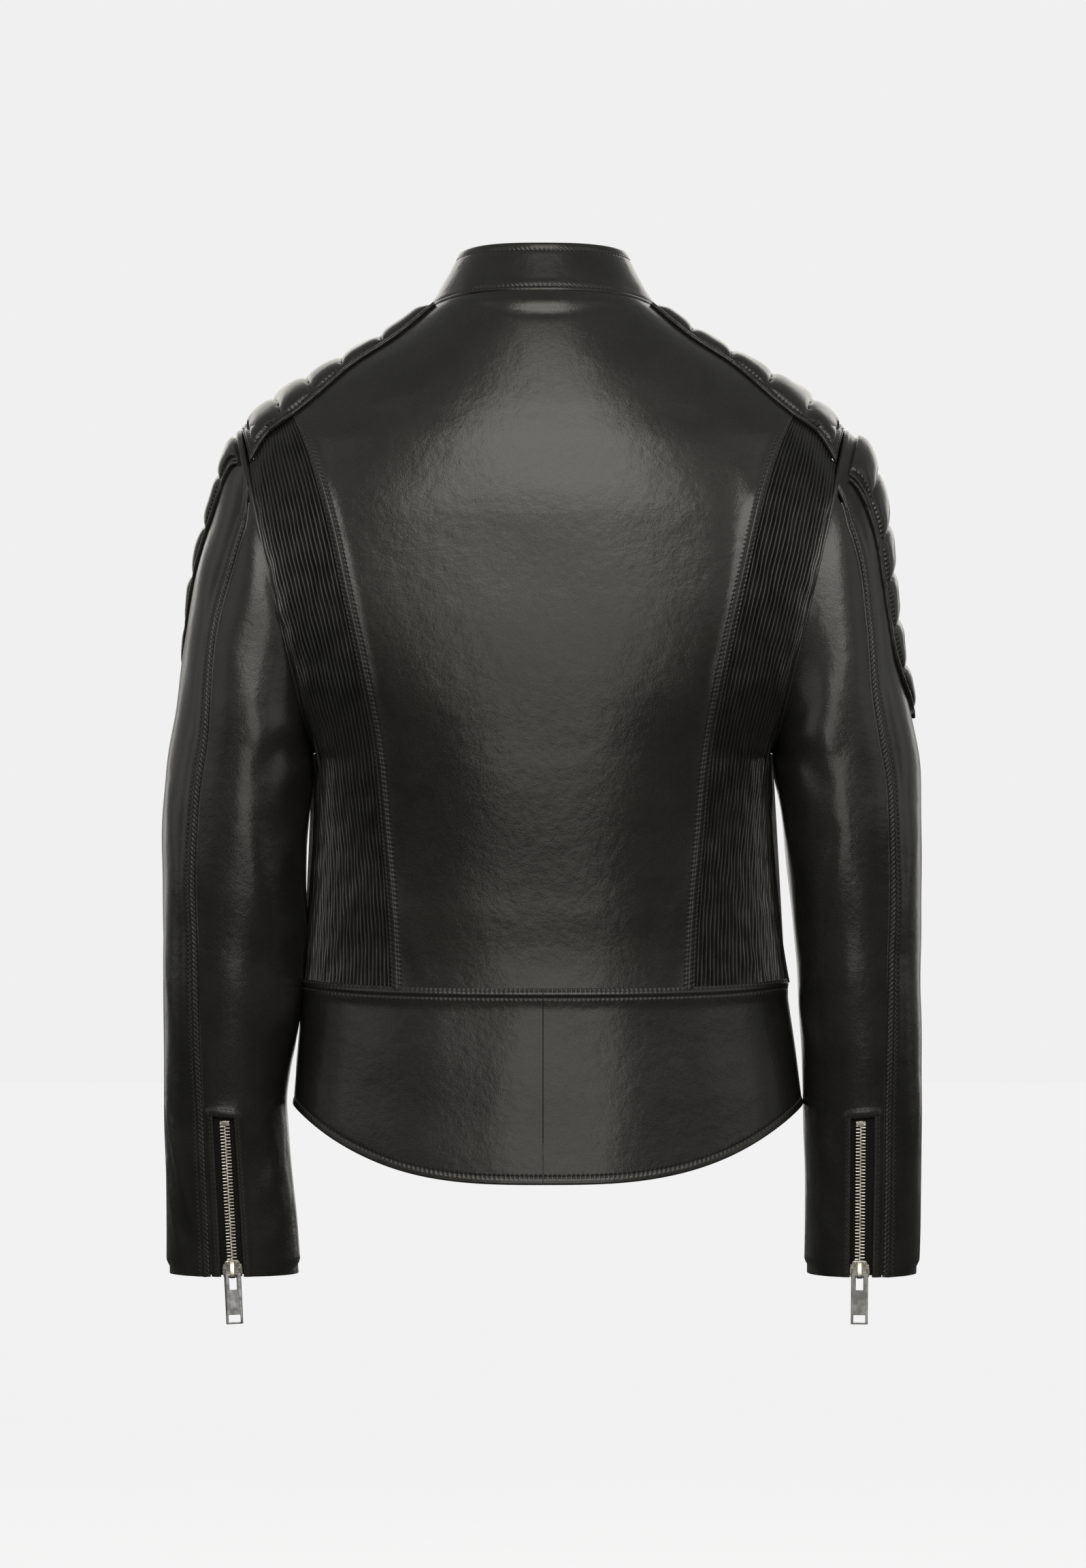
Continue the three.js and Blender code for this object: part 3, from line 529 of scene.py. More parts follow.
def ring_faces(*shape):
    """The faces of closed tubes. shape is how many tubes, where there are several, rings and points a ring."""
    at = np.arange(np.prod(shape)).reshape(shape)
    after = np.roll(at, -1, axis=-1)
    walls = np.stack([at[..., :-1, :], after[..., :-1, :], after[..., 1:, :], at[..., 1:, :]], axis=-1)
    ends = [end.reshape(-1, shape[-1]).tolist() for end in (at[..., 0, ::-1], at[..., -1, :])]
    return walls.reshape(-1, 4).tolist() + ends[0] + ends[1]


def shell(name, grid, under, coarse=3, sharp=50):
    """A closed piece between the grid's lifted surface and a coarser one at height under."""
    rows, columns = grid.s.shape
    coarse = 1 if grid.hole is not None else coarse
    pick_r = np.unique(np.append(np.arange(0, rows, coarse), rows - 1))
    pick_c = np.unique(np.append(np.arange(0, columns, coarse), columns - 1))
    below = (grid.base + grid.normal * under)[np.ix_(pick_r, pick_c)]
    top = np.arange(rows * columns).reshape(rows, columns)
    low = rows * columns + np.arange(len(pick_r) * len(pick_c)).reshape(len(pick_r), len(pick_c))
    kept = grid.kept if coarse == 1 else np.ones((len(pick_r) - 1, len(pick_c) - 1), bool)
    faces = cell_faces(top, grid.kept) + cell_faces(low, kept, True)
    if coarse == 1:
        faces += rim_faces(top, low, kept)
    else:
        rims = [
            (top[0], low[0], pick_c, True), (top[-1], low[-1], pick_c, False),
            (top[:, 0], low[:, 0], pick_r, False), (top[:, -1], low[:, -1], pick_r, True),
        ]
        for upper, lower, pick, turned in rims:
            for i in range(len(pick) - 1):
                face = [*upper[pick[i]: pick[i + 1] + 1][::-1].tolist(), int(lower[i]), int(lower[i + 1])]
                faces.append(face[::-1] if turned else face)
    points = np.concatenate([grid.points.reshape(-1, 3), below.reshape(-1, 3)])
    spare = len(below.reshape(-1, 3))
    marks = {
        "edge": np.append(grid.edge.ravel(), np.zeros(spare)),
        "row": np.append(grid.row.ravel(), np.full(spare, NO_SEAM)),
        "run": np.append(grid.run.ravel(), np.zeros(spare)),
    }
    return new_mesh(name, points, faces, marks, sharp)


def round_section(sides=10, squash=1.0, power=2.0):
    """The section of a cord: round, or a flat strap with soft edges where power is above 2."""
    turn = np.arange(sides) * 2 * math.pi / sides
    a, b = np.cos(turn), np.sin(turn)
    wide, high = (np.sign(c) * np.abs(c) ** (2 / power) for c in (a, b))
    return np.stack([wide, squash * high], axis=1)


def tube(name, path, out, radius, section=round_section()):
    """A closed cord or strap along a path. out says which way is away from the leather."""
    path, out = np.asarray(path, float), np.asarray(out, float)
    radius = np.broadcast_to(radius, len(path))[:, None, None]
    ahead = unit(np.gradient(path, axis=0))
    side = unit(np.cross(ahead, out))
    up = np.cross(side, ahead)
    ring = section[None, :, :1] * side[:, None] + section[None, :, 1:] * up[:, None]
    points = path[:, None] + ring * radius
    return new_mesh(name, points.reshape(-1, 3), ring_faces(*points.shape[:2]))


stitches = {}  # place -> the rows of stitches to be made there


def sew(place, path, out):
    """Lays stitches along a path on the leather."""
    along = lengths(path)
    count = int(along[-1] / STITCH_PITCH)
    if count < 1:
        return

    def between(spots, field):
        return np.stack([np.interp(spots, along, field[:, k]) for k in range(3)], axis=1)

    spots = (np.arange(count) + 0.5) * STITCH_PITCH
    normal = unit(between(spots, out))
    side = unit(np.cross(between(spots + 1, path) - between(spots - 1, path), normal))
    stitches.setdefault(place, []).append((between(spots, path), unit(np.cross(normal, side)), side, normal))


def sew_grid(place, grid):
    for kind, distance, low, high in grid.seams:
        sew(place, *grid.line(kind, distance, low, high))


THREAD = {"radius": 0.34, "half": 1.25, "sides": 6}


def make_stitches(place):
    middle, ahead, side, normal = (np.concatenate(part) for part in zip(*stitches[place]))
    turn = np.arange(THREAD["sides"]) * 2 * math.pi / THREAD["sides"]
    # Each stitch bows over the leather and dives into it at both ends.
    stations = ((-1.15, -0.75, 0.5), (-0.8, -0.05, 1), (0, 0.12, 1.1), (0.8, -0.05, 1), (1.15, -0.75, 0.5))
    rings = []
    for along, rise, width in stations:
        centre = middle + ahead * along * THREAD["half"] + normal * rise
        offset = np.cos(turn)[None, :, None] * side[:, None] + np.sin(turn)[None, :, None] * normal[:, None]
        rings.append(centre[:, None] + offset * THREAD["radius"] * width)
    points = np.stack(rings, axis=1)  # stitch, station, side, xyz
    return new_mesh(f"stitches_{place}", points.reshape(-1, 3), ring_faces(*points.shape[:3]))


# ---- Materials -------------------------------------------------------------------------------
class Look:
    """A procedural material, built up one node at a time in object coordinates."""

    def __init__(self, name, **constants):
        self.material = bpy.data.materials.new(name)
        self.material.use_nodes = True
        self.tree = self.material.node_tree
        self.shader = self.tree.nodes["Principled BSDF"]
        for socket, value in constants.items():
            self.shader.inputs[socket.replace("_", " ")].default_value = value
        self.place = self.tree.nodes.new("ShaderNodeTexCoord").outputs["Object"]

    def add(self, kind, inputs, output=0, **settings):
        node = self.tree.nodes.new(kind)
        for key, value in settings.items():
            setattr(node, key, value)
        for key, value in inputs.items():
            if isinstance(value, bpy.types.NodeSocket):
                self.tree.links.new(value, node.inputs[key])
            else:
                node.inputs[key].default_value = value
        return node.outputs[output]

    def math(self, operation, a, b=0.0):
        return self.add("ShaderNodeMath", {0: a, 1: b}, operation=operation)

    def noise(self, scale, detail=2.0, roughness=0.5, at=None):
        inputs = {"Vector": at or self.place, "Scale": scale, "Detail": detail, "Roughness": roughness}
        return self.add("ShaderNodeTexNoise", inputs)

    def cells(self, scale, at):
        return self.add("ShaderNodeTexVoronoi", {"Vector": at, "Scale": scale}, feature="DISTANCE_TO_EDGE")

    def bands(self, scale, way, distortion=0.0):
        inputs = {"Vector": self.place, "Scale": scale, "Distortion": distortion}
        return self.add("ShaderNodeTexWave", inputs, wave_type="BANDS", bands_direction=way)

    def fit(self, value, low, high, to_low=0.0, to_high=1.0):
        inputs = {0: value, 1: low, 2: high, 3: to_low, 4: to_high}
        return self.add("ShaderNodeMapRange", inputs, interpolation_type="SMOOTHSTEP")

    def mark(self, name):
        return self.add("ShaderNodeAttribute", {}, output=2, attribute_name=name)

    def mix(self, factor, a, b):
        a, b = ((*end, 1) if isinstance(end, tuple) else end for end in (a, b))
        return self.add("ShaderNodeMix", {0: factor, 6: a, 7: b}, output=2, data_type="RGBA")

    def bump(self, height, depth, under=None, strength=1.0):
        inputs = {"Height": height, "Distance": depth, "Strength": strength}
        if under is not None:
            inputs["Normal"] = under
        return self.add("ShaderNodeBump", inputs)

    def set(self, **sockets):
        for socket, value in sockets.items():
            self.tree.links.new(value, self.shader.inputs[socket.replace("_", " ")])


def leather_look(name, tone=1.0, gloss=0.0):
    """Semi-gloss dyed cowhide: fine pebbled grain with painted shade in its valleys, soft mottling, puckers at
    the stitching, worn edges.
    """
    look = Look(name, Coat_Weight=0.9, Coat_Roughness=0.17, Coat_IOR=1.45, IOR=1.4, Specular_IOR_Level=0.3)
    look.shader.inputs["Specular Tint"].default_value = (1.0, 0.97, 0.9, 1)
    sway = look.add("ShaderNodeVectorMath", {0: look.noise(160, 2), 1: (0.0012,) * 3}, operation="MULTIPLY")
    bent = look.add("ShaderNodeVectorMath", {0: look.place, 1: sway}, operation="ADD")
    pebbles = look.fit(look.cells(760, bent), 0.0, 0.28)
    pores = look.fit(look.cells(1900, bent), 0.0, 0.3)
    fibre = look.noise(3200, 2)
    creases = look.fit(look.cells(130, bent), 0.0, 0.05)
    patches, haze = look.noise(22, 3, 0.55), look.noise(7, 2, 0.5)
    grain = look.math("ADD", pebbles, look.math("MULTIPLY", pores, 0.45))
    grain = look.math("ADD", grain, look.math("MULTIPLY", fibre, 0.35))
    turns = look.math("MULTIPLY", look.mark("run"), 2 * math.pi / STITCH_PITCH)
    near = look.fit(look.mark("row"), 0.3, 3.0, 1.0, 0.0)
    puckers = look.math("MULTIPLY", look.math("COSINE", turns), near)
    shape = look.bump(look.noise(75, 4, 0.6), 0.0009, strength=0.4)
    for relief, depth in ((puckers, 0.0001), (creases, 0.000009)):
        shape = look.bump(relief, depth, shape)
    worn = look.math("MULTIPLY", look.fit(look.mark("edge"), 0.2, 1.8, 1.0, 0.0), look.noise(90, 3))
    # pebble_tops_and_valley_shade runs from 0.55 in the grain's valleys to 1 on the pebbles. It paints shade
    # into the valleys of the base colour and makes the pebble tops a little glossier.
    pebble_tops_and_valley_shade = look.fit(pebbles, 0.0, 1.0, 0.55, 1.0)
    dark, light, rubbed = (
        tuple(tone * part for part in colour)
        for colour in ((0.017, 0.0168, 0.0152), (0.027, 0.0266, 0.0238), (0.05, 0.046, 0.038))
    )
    colour = look.mix(look.fit(patches, 0.3, 0.7), dark, light)
    colour = look.mix(look.math("MULTIPLY", worn, 0.5), colour, rubbed)
    rough = look.fit(look.math("ADD", patches, look.math("MULTIPLY", haze, 0.6)), 0.5, 1.1, 0.38, 0.5)
    rough = look.math("SUBTRACT", look.math("ADD", rough, look.math("MULTIPLY", pebble_tops_and_valley_shade, -0.04)), 0.05 * gloss)
    look.set(
        # Painted shade: the base colour darkens towards near black in the grain's valleys.
        Base_Color=look.mix(pebble_tops_and_valley_shade, (0.006, 0.006, 0.005), colour),
        Roughness=rough,
        Normal=look.bump(grain, 0.00003, shape),
        Coat_Normal=look.bump(grain, 0.000013, shape),
    )
    return look.material


def lining_look():
    """Dark satin with a fine slanted twill."""
    look = Look("lining_satin", Sheen_Weight=0.35, Sheen_Roughness=0.35, IOR=1.4)
    wave = look.bands(420.0, "DIAGONAL", 0.6)
    patches = look.noise(30, 3)
    look.set(
        Base_Color=look.mix(patches, (0.012, 0.012, 0.015), (0.03, 0.03, 0.036)),
        Roughness=look.fit(patches, 0.3, 0.7, 0.4, 0.55),
        Normal=look.bump(wave, 0.00004, look.bump(look.noise(60, 2), 0.0006)),
    )
    return look.material


def tape_look():
    """Black woven zip tape."""
    look = Look("zip_tape_weave", Sheen_Weight=0.2, IOR=1.35)
    cloth = look.math("MULTIPLY", *(look.bands(900.0, way, 0.4) for way in ("X", "Z")))
    look.set(
        Base_Color=look.mix(cloth, (0.006, 0.006, 0.006), (0.02, 0.02, 0.019)),
        Roughness=look.fit(cloth, 0, 1, 0.9, 0.75),
        Normal=look.bump(cloth, 0.00012),
    )
    return look.material


def thread_look():
    """Twisted black thread."""
    look = Look("black_thread", Sheen_Weight=0.3, IOR=1.45)
    twist = look.bands(1500.0, "DIAGONAL")
    look.set(
        Base_Color=look.mix(twist, (0.008, 0.008, 0.0075), (0.026, 0.025, 0.022)),
        Roughness=look.fit(twist, 0, 1, 0.6, 0.42),
        Normal=look.bump(twist, 0.00005),
    )
    return look.material


def metal_look(name, bright, dull, low, high, scratches):
    """Polished, lightly scratched plating with a duller film in patches."""
    look = Look(name, Metallic=1.0)
    long = look.add("ShaderNodeMapping", {"Vector": look.place, "Scale": (9.0, 9.0, 0.6)})
    fine, film = look.noise(260, 4, 0.7, at=long), look.noise(140, 3, 0.6)
    look.set(
        Base_Color=look.mix(look.fit(film, 0.35, 0.7), bright, dull),
        Roughness=look.fit(look.math("ADD", fine, film), 0.7, 1.3, low, high),
        Normal=look.bump(fine, scratches),
    )
    return look.material


# Each finish: its material, and the record's material slot that it belongs to.
FINISH = {
    "leather": (leather_look("leather"), "leather"),
    "quilt": (leather_look("quilt_leather", tone=1.1), "quilt_leather"),
    "piping": (leather_look("piping_leather", gloss=1.0), "leather"),
    "lining": (lining_look(), "lining"),
    "tape": (tape_look(), "zip_tape"),
    "thread": (thread_look(), "zip_tape"),
    "nickel": (
        metal_look("nickel", (0.9, 0.87, 0.79), (0.68, 0.65, 0.57), 0.22, 0.4, 0.00001),
        "nickel",
    ),
    "gunmetal": (
        metal_look("gunmetal", (0.2, 0.2, 0.203), (0.12, 0.12, 0.122), 0.07, 0.18, 0.000004),
        "gunmetal",
    ),
}


def dress(piece, finish, body, *nodes):
    """Gives a piece its material, has it move with its body (a sleeve's pieces are only baked in place, not
    parented) and stand for these CAD nodes.
    """
    look, slot = FINISH[finish]
    piece.data.materials.clear()
    piece.data.materials.append(look)
    if body in SLEEVE_BENDS:
        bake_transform(piece)
    else:
        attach(piece, body)
    if nodes:
        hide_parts(*nodes)
    return piece


def panel(name, grid, height, place, body, *nodes, finish="leather", under=-LEATHER, **shape):
    """Finishes a sewn panel: its height, its stitches and its thickness."""
    grid.lift(height)
    sew_grid(place, grid)
    return dress(shell(name, grid, under, **shape), finish, body, *nodes)


def cord(name, path, out, sink, radius, body, *nodes):
    """Piping or a seam allowance along a path, sunk below it by this much."""
    dress(tube(name, path - sink * out, out, radius), "piping", body, *nodes)


def sleeve_bend(side):
    """A start on the armhole's axis and an end 75 mm further down the sleeve, for the sleeve's first stretch.
    """
    start = Vector((side * 0.1955, -0.053, -0.224))
    return {"start": start, "end": start + 0.075 * Vector((side * 0.9743, 0, -0.2252))}


SLEEVE_BENDS = {f"{name}_sleeve": sleeve_bend(side) for name, side in SIDES.items()}


# ---- The back --------------------------------------------------------------------------------
def fold(points, path, width, height):
    """A soft crease along a path, fading towards the path's ends."""
    path = np.asarray(path, float)
    along = lengths(path)
    best, share = np.full(points.shape[:-1], 1e9), np.zeros(points.shape[:-1])
    for a, b, so_far in zip(path[:-1], path[1:], along[:-1]):
        d = b - a
        t = np.clip(((points - a) @ d) / (d @ d), 0, 1)
        far = np.linalg.norm(points - a - t[..., None] * d, axis=-1)
        nearer = far < best
        best = np.where(nearer, far, best)
        share = np.where(nearer, (so_far + t * np.linalg.norm(d)) / along[-1], share)
    return height * bell(best, width) * np.sin(math.pi * np.clip(share, 0, 1)) ** 0.7


def double_row(grid, kind, low=0, high=1, first=1.5, second=6.8, puff=0.8):
    """A turned edge held by two rows of stitches, with the leather swelling between them."""
    far = getattr(grid, kind)
    band = puff * bell(far - (first + second) / 2, 2.0)
    return band + grid.stitch(kind, first, low, high) + grid.stitch(kind, second, low, high)


def back_surface(s, level):
    side = np.where(s < 0, -1, 1)
    edge = np.where(level < RIBS_START, piping_share(level, True), rib_seam_share(side, level))
    gap = 0.3 / (ring_end(1, level, True)[0] * 1.2)
    return torso_point(side, True, np.abs(s) * (edge - gap), level)


def make_back():
    grid = Grid(back_surface, in_torso, (-1, 1), (0.0, 11.02), 2.6, (10, 10, 3, 2))
    x, z = grid.base[..., 0], grid.base[..., 2]
    strap = smooth(RIBS_START - 0.1, RIBS_START + 0.3, grid.t)
    start = (grid.top[:, 0] / grid.top[-1, 0])[np.searchsorted(grid.t[:, 0], RIBS_START)]
    side_edge = np.minimum(grid.left, grid.right)
    height = 0.25 * waves(grid.base, 95, 3) + roll(grid.edge, 0.9)
    height += strap * 0.9 * (1 - smooth(4, 14, side_edge))
    for kind in ("left", "right"):
        height += strap * double_row(grid, kind, start, 1)
    # The leather swells under the collar and folds below the swelling.
    lens = np.clip(1 - (x / 80) ** 2, 0, 1)
    height += lens * (1.7 * bell(grid.top - 4 - 6 * lens, 6.5) - 1.0 * bell(grid.top - 17.5 * lens, 4))
    for path, width, size in BACK_FOLDS:
        spots = np.array([[px, 0, pz] for px, pz in path], float)
        height += fold(np.stack([x, 0 * x, z], axis=-1), spots, width, size)
    panel("back", grid, height, "back", "torso", "back_panel")


# Each fold of the back: points (x, z) along it, its width and its height.
BACK_FOLDS = [
    ([(-146, -120), (-153, -160), (-149, -215)], 9, 1.3),
    ([(-134, -130), (-136, -200), (-130, -270)], 10, -0.7),
    ([(150, -95), (158, -130), (152, -180)], 12, 0.9),
    ([(112, -420), (96, -470), (84, -505)], 9, 0.6),
    ([(-112, -400), (-96, -460), (-88, -502)], 9, 0.6),
    ([(66, -60), (110, -78), (150, -92)], 10, 0.6),
    ([(-66, -60), (-110, -80), (-150, -96)], 10, 0.5),
]

RIBS = 32
RIB_COLUMNS = 8  # for each rib
UNDER_SEAM = 4  # millimetres of the ribbed panel that lie under the back


class RibSurface:
    """The ribbed panel's surface: s counts ribs from the seam as a share of them all, t runs down."""

    def __init__(self, side):
        self.side = side
        self.levels = np.linspace(RIBS_START - 0.05, 11.05, 140)
        self.offsets = np.linspace(-UNDER_SEAM, 150, 220)
        rows, widths, tops = [], [], []
        for level in self.levels:
            low = rib_seam_share(side, level)
            shares = np.linspace(low - 0.06, 1, 200)
            along = lengths(torso_point(side, True, shares, level))
            along -= np.interp(low, shares, along)
            rows.append(np.interp(self.offsets, along, shares))
            widths.append(along[-1])
            tops.append(np.interp(piping_share(level, True), shares, along))
        self.shares, self.widths = np.array(rows), np.array(widths)
        count = np.maximum.accumulate(np.array(tops) / self.pitch(self.levels))
        self.top = lambda ribs: np.interp(ribs, count, self.levels)

    def pitch(self, level):
        width = np.interp(np.maximum(level, UNDERARM), self.levels, self.widths)
        return width / RIBS * (1 + 0.17 * smooth(UNDERARM, YOKE_END, level))

    def __call__(self, s, t):
        ribs = s * RIBS
        level = lerp(self.top(np.maximum(ribs, 0)), WAIST, t)
        depth = back_z(level)
        drift = 0.24 * np.sin(depth / 9 + 0.4 * ribs + 1.5 * np.sin(depth / 31 + ribs / 5))
        drift = (drift + 0.08 * np.sin(depth / 4.1 + 1.3 * ribs)) * smooth(0, 3, ribs)
        offset = ribs * self.pitch(level) + drift * smooth(0, 2, RIBS - ribs)
        i = (level - self.levels[0]) / (self.levels[1] - self.levels[0])
        j = (offset - self.offsets[0]) / (self.offsets[1] - self.offsets[0])
        i0 = np.clip(i.astype(int), 0, len(self.levels) - 2)
        j0 = np.clip(j.astype(int), 0, len(self.offsets) - 2)
        u, v = np.clip(i - i0, 0, 1), np.clip(j - j0, 0, 1)
        share = (
            self.shares[i0, j0] * (1 - u) * (1 - v) + self.shares[i0 + 1, j0] * u * (1 - v)
            + self.shares[i0, j0 + 1] * (1 - u) * v + self.shares[i0 + 1, j0 + 1] * u * v
        )
        return torso_point(self.side, True, share, level)


def make_ribs(name, side):
    surface = RibSurface(side)
    columns = np.arange(-1, RIBS * RIB_COLUMNS + 1) / (RIBS * RIB_COLUMNS)
    grid = Grid(surface, in_torso, t_range=(0.0, 1.0), step=2.4, bands=(0, 0, 3, 2), columns=columns)
    ribs = grid.s * RIBS
    rise = 0.5 - 0.5 * np.cos(2 * math.pi * ribs)
    depth = grid.base[..., 2]
    uneven = 1 + 0.16 * np.sin(depth / 7.3 + 2.1 * np.floor(ribs)) + 0.12 * waves(grid.base, 22, 8)
    size = 2.0 * lerp(0.3, 1, smooth(0, 34, grid.top)) * uneven
    height = size * rise**0.6 - 1.3 + 0.25 * waves(grid.base, 60, 21)
    height = np.where(ribs < 0, -1.2, height) + 0.6 * roll(np.minimum(grid.top, grid.bottom), 1.2)
    panel(f"ribs_{name}", grid, height, "back", "torso", f"rib_panel_{name}", under=-2.6, sharp=65)


def make_lower_back(name, side):
    def surface(s, t):
        level = lerp(WAIST - 0.02, HEM, t)
        low = share_at(0.01, side, level, True)
        return torso_point(side, True, lerp(low, 1 - 0.002, s), level)

    grid = Grid(surface, in_torso, step=2.4, bands=(4, 3, 9, 8))
    turned = np.minimum(np.minimum(grid.top, grid.bottom), grid.right)
    height = 0.35 * waves(grid.base, 75, 5) + roll(turned, 1.0) + roll(grid.left, 0.25)
    height += 1.0 * (1 - smooth(6, 16, grid.top)) + double_row(grid, "top", puff=0.7)
    height += 0.6 * (1 - smooth(3, 7, grid.bottom)) + grid.stitch("bottom", 5.6)
    panel(f"lower_back_panel_{name}", grid, height, "lower_back", "torso", f"lower_back_{name}", under=-2.2)


# ---- Quilted shoulders -----------------------------------------------------------------------
def yoke_surface(side):
    def surface(q, p):
        back, reach = q >= 0, np.abs(q)
        level = p * lerp(TIP, YOKE_END, reach * reach)
        return torso_point(side, back, 1 - reach * (1 - piping_share(p * YOKE_END, back)), level)

    return surface


def cushion(distance, width):
    """The rounded rise of a pillow over this width from its seam."""
    return np.sqrt(1 - (1 - np.clip(distance / width, 0, 1)) ** 2)


def seam_distance(grid, place):
    """The distance along each column from the line t = place(s)."""
    columns = range(grid.s.shape[1])
    spots = [np.interp(place(grid.s[:, c]).mean(), grid.t[:, c], grid.top[:, c]) for c in columns]
    return grid.top - np.array(spots)[None, :]


def quilted(grid, seams, strip, base, rise, free):
    """The height of a quilted piece: a flat strip round its edge, and pillows between the seams."""
    border = np.minimum(grid.left, grid.right)
    nearest = np.minimum(np.min([np.abs(seam_distance(grid, seam)) for seam in seams], axis=0), free)
    pillow = cushion(nearest, 13) * cushion(border - strip, 11)
    fine = 0.25 * waves(grid.base, 26, 12) * pillow
    return base + rise * pillow + fine - 0.5 * bell(nearest, 0.9) * cushion(border - strip, 5)


YOKE_SEAMS = {"left": (0.25, 0.457, 0.635, 0.80), "right": (0.18, 0.387, 0.60, 0.807)}


def make_yoke(name, side):
    grid = Grid(yoke_surface(side), in_torso, (-1, 1), (0.01, 0.995), 1.7, (7, 7, 3, 9))
    seams = [lambda q, p=p: p + 0.04 * q * q for p in YOKE_SEAMS[name]]
    free = np.minimum(grid.top + 3, np.maximum(grid.bottom - 7.5, 0))
    height = quilted(grid, seams, 5.2, 1.5, 4.4, free)
    height = sum((0.6 * grid.stitch(kind, 5.0) for kind in ("left", "right")), height)
    height += double_row(grid, "bottom", 0.04, 0.96, 1.4, 6.4, 0.5) + 1.1 * roll(grid.edge, 1.0)
    height -= 1.2 * (1 - smooth(0, 9, grid.top))
    piece = panel(f"quilted_shoulder_{name}", grid, height, "shoulders", "torso", f"shoulder_quilt_{name}",
                  f"shoulder_foam_{name}", finish="quilt", under=-0.8, sharp=60)
    for face, q in (("back", 1), ("front", -1)):
        p = np.linspace(0.012, 0.985, 130)
        path = yoke_surface(side)(np.full(130, q * 0.999), p)
        inner = yoke_surface(side)(np.full(130, q * 0.97), p)
        out = unit(np.cross(np.gradient(path, axis=0), inner - path))
        out *= np.sign((out * (path - in_torso(path))).sum(-1, keepdims=True))
        pinch = np.min([np.abs(p - seam - 0.04) for seam in YOKE_SEAMS[name]], axis=0)
        radius = 1.55 + 0.1 * np.sin(p * 90) + 0.08 * np.sin(p * 217) - 0.45 * bell(pinch, 0.006)
        cord(f"shoulder_cord_{face}_{name}", path, out, -1.5, radius, "torso", f"shoulder_piping_{face}_{name}")


# ---- Zips ------------------------------------------------------------------------------------
# A zip has its own frame: x across, y away from the leather and z up the chain.
WINDOW = 7.5  # half the width of the leather cut away along a zip
TAPE = {"half": 9.5, "low": -4.9, "high": -4.3}
CHAIN = {"half": 3.85, "low": -3.8, "high": 0.4, "pitch": 2.4, "half_tooth": 0.76}
PIVOT = {"height": 4, "drop": 3.6}


def zip_frame(foot, up, out):
    z = unit(np.asarray(up, float))
    x = unit(np.cross(out, z))
    return np.asarray(foot, float), np.stack([x, np.cross(z, x), z])


def placed(frame, points):
    return frame[0] + np.asarray(points, float) @ frame[1]


def moved(frame, offset, turn=0.0):
    """The frame moved by an offset in its own axes, then turned about its x axis."""
    x, y, z = frame[1]
    c, s = math.cos(turn), math.sin(turn)
    return placed(frame, offset), np.stack([x, c * y + s * z, c * z - s * y])


def merged(parts):
    points, faces, start = [], [], 0
    for p, f in parts:
        points.append(np.asarray(p, float))
        faces += [[k + start for k in face] for face in f]
        start += len(p)
    return np.concatenate(points), faces


def prism(outline, low, high):
    """A closed prism on an (x, z) outline, from y = low to y = high."""
    n = len(outline)
    points = [(x, low, z) for x, z in outline] + [(x, high, z) for x, z in outline]
    faces = [list(range(n)), list(range(2 * n - 1, n - 1, -1))]
    faces += [[(i + 1) % n, i, i + n, (i + 1) % n + n] for i in range(n)]
    return np.array(points, float), faces


def cut_plate(xs, zs, low, high, holes):
    """A plate of rectangular cells, without the cells whose middle is in one of the holes."""
    xs, zs = np.array(xs, float), np.array(zs, float)
    x, z = np.meshgrid((xs[1:] + xs[:-1]) / 2, (zs[1:] + zs[:-1]) / 2)
    kept = np.ones(x.shape, bool)
    for x0, x1, z0, z1 in holes:
        kept &= ~((x > x0) & (x < x1) & (z > z0) & (z < z1))
    gx, gz = np.meshgrid(xs, zs)
    top = np.arange(gx.size).reshape(gx.shape)
    points = np.concatenate([np.stack([gx, 0 * gx + y, gz], axis=-1).reshape(-1, 3) for y in (high, low)])
    under = top + gx.size
    return points, cell_faces(top, kept) + cell_faces(under, kept, True) + rim_faces(top, under, kept)


def rounded(name, parts, frame, width, segments=2):
    """Closed parts given round edges of this width."""
    points, faces = merged(parts)
    piece = new_mesh(name, placed(frame, points), faces)
    body = bmesh.new()
    body.from_mesh(piece.data)
    body.normal_update()
    edges = [e for e in body.edges if len(e.link_faces) == 2 and e.calc_face_angle() > math.radians(25)]
    bmesh.ops.bevel(body, geom=edges, offset=width / 1000, segments=segments, profile=0.5,
                    affect="EDGES", clamp_overlap=True)
    body.to_mesh(piece.data)
    body.free()
    piece.data.shade_smooth()
    piece.modifiers.new("normals", "WEIGHTED_NORMAL")
    return piece


def tooth(side, z):
    """One tooth of a chain: a bar whose head is a little lower and narrower, for the other row to grip."""
    stations = (
        (-0.9, 0.5, -0.5), (-0.5, 0.85, -0.05), (0.5, 0.95, 0.15), (1.1, 0.85, -0.2), (3.4, 0.85, 0.0),
        (CHAIN["half"], 0.7, -0.3),
    )
    half, low, high = CHAIN["half_tooth"], CHAIN["low"], CHAIN["high"]
    section = ((-1, low), (1, low), (1, high - 0.45), (0.55, high), (-0.55, high), (-1, high - 0.45))
    points = [
        (side * x, y + (drop if y > low + 1 else 0), z + w * half * wide)
        for x, wide, drop in stations for w, y in section
    ]
    faces = ring_faces(len(stations), len(section))
    if side > 0:
        faces = [face[::-1] for face in faces]
    return np.array(points), faces


def teeth_between(low, high, sides=(1, -1)):
    pitch = CHAIN["pitch"]
    return [
        tooth(side, z)
        for side in sides
        for z in np.arange(low + pitch * (0.3 if side > 0 else 0.8), high - 0.5, pitch)
    ]


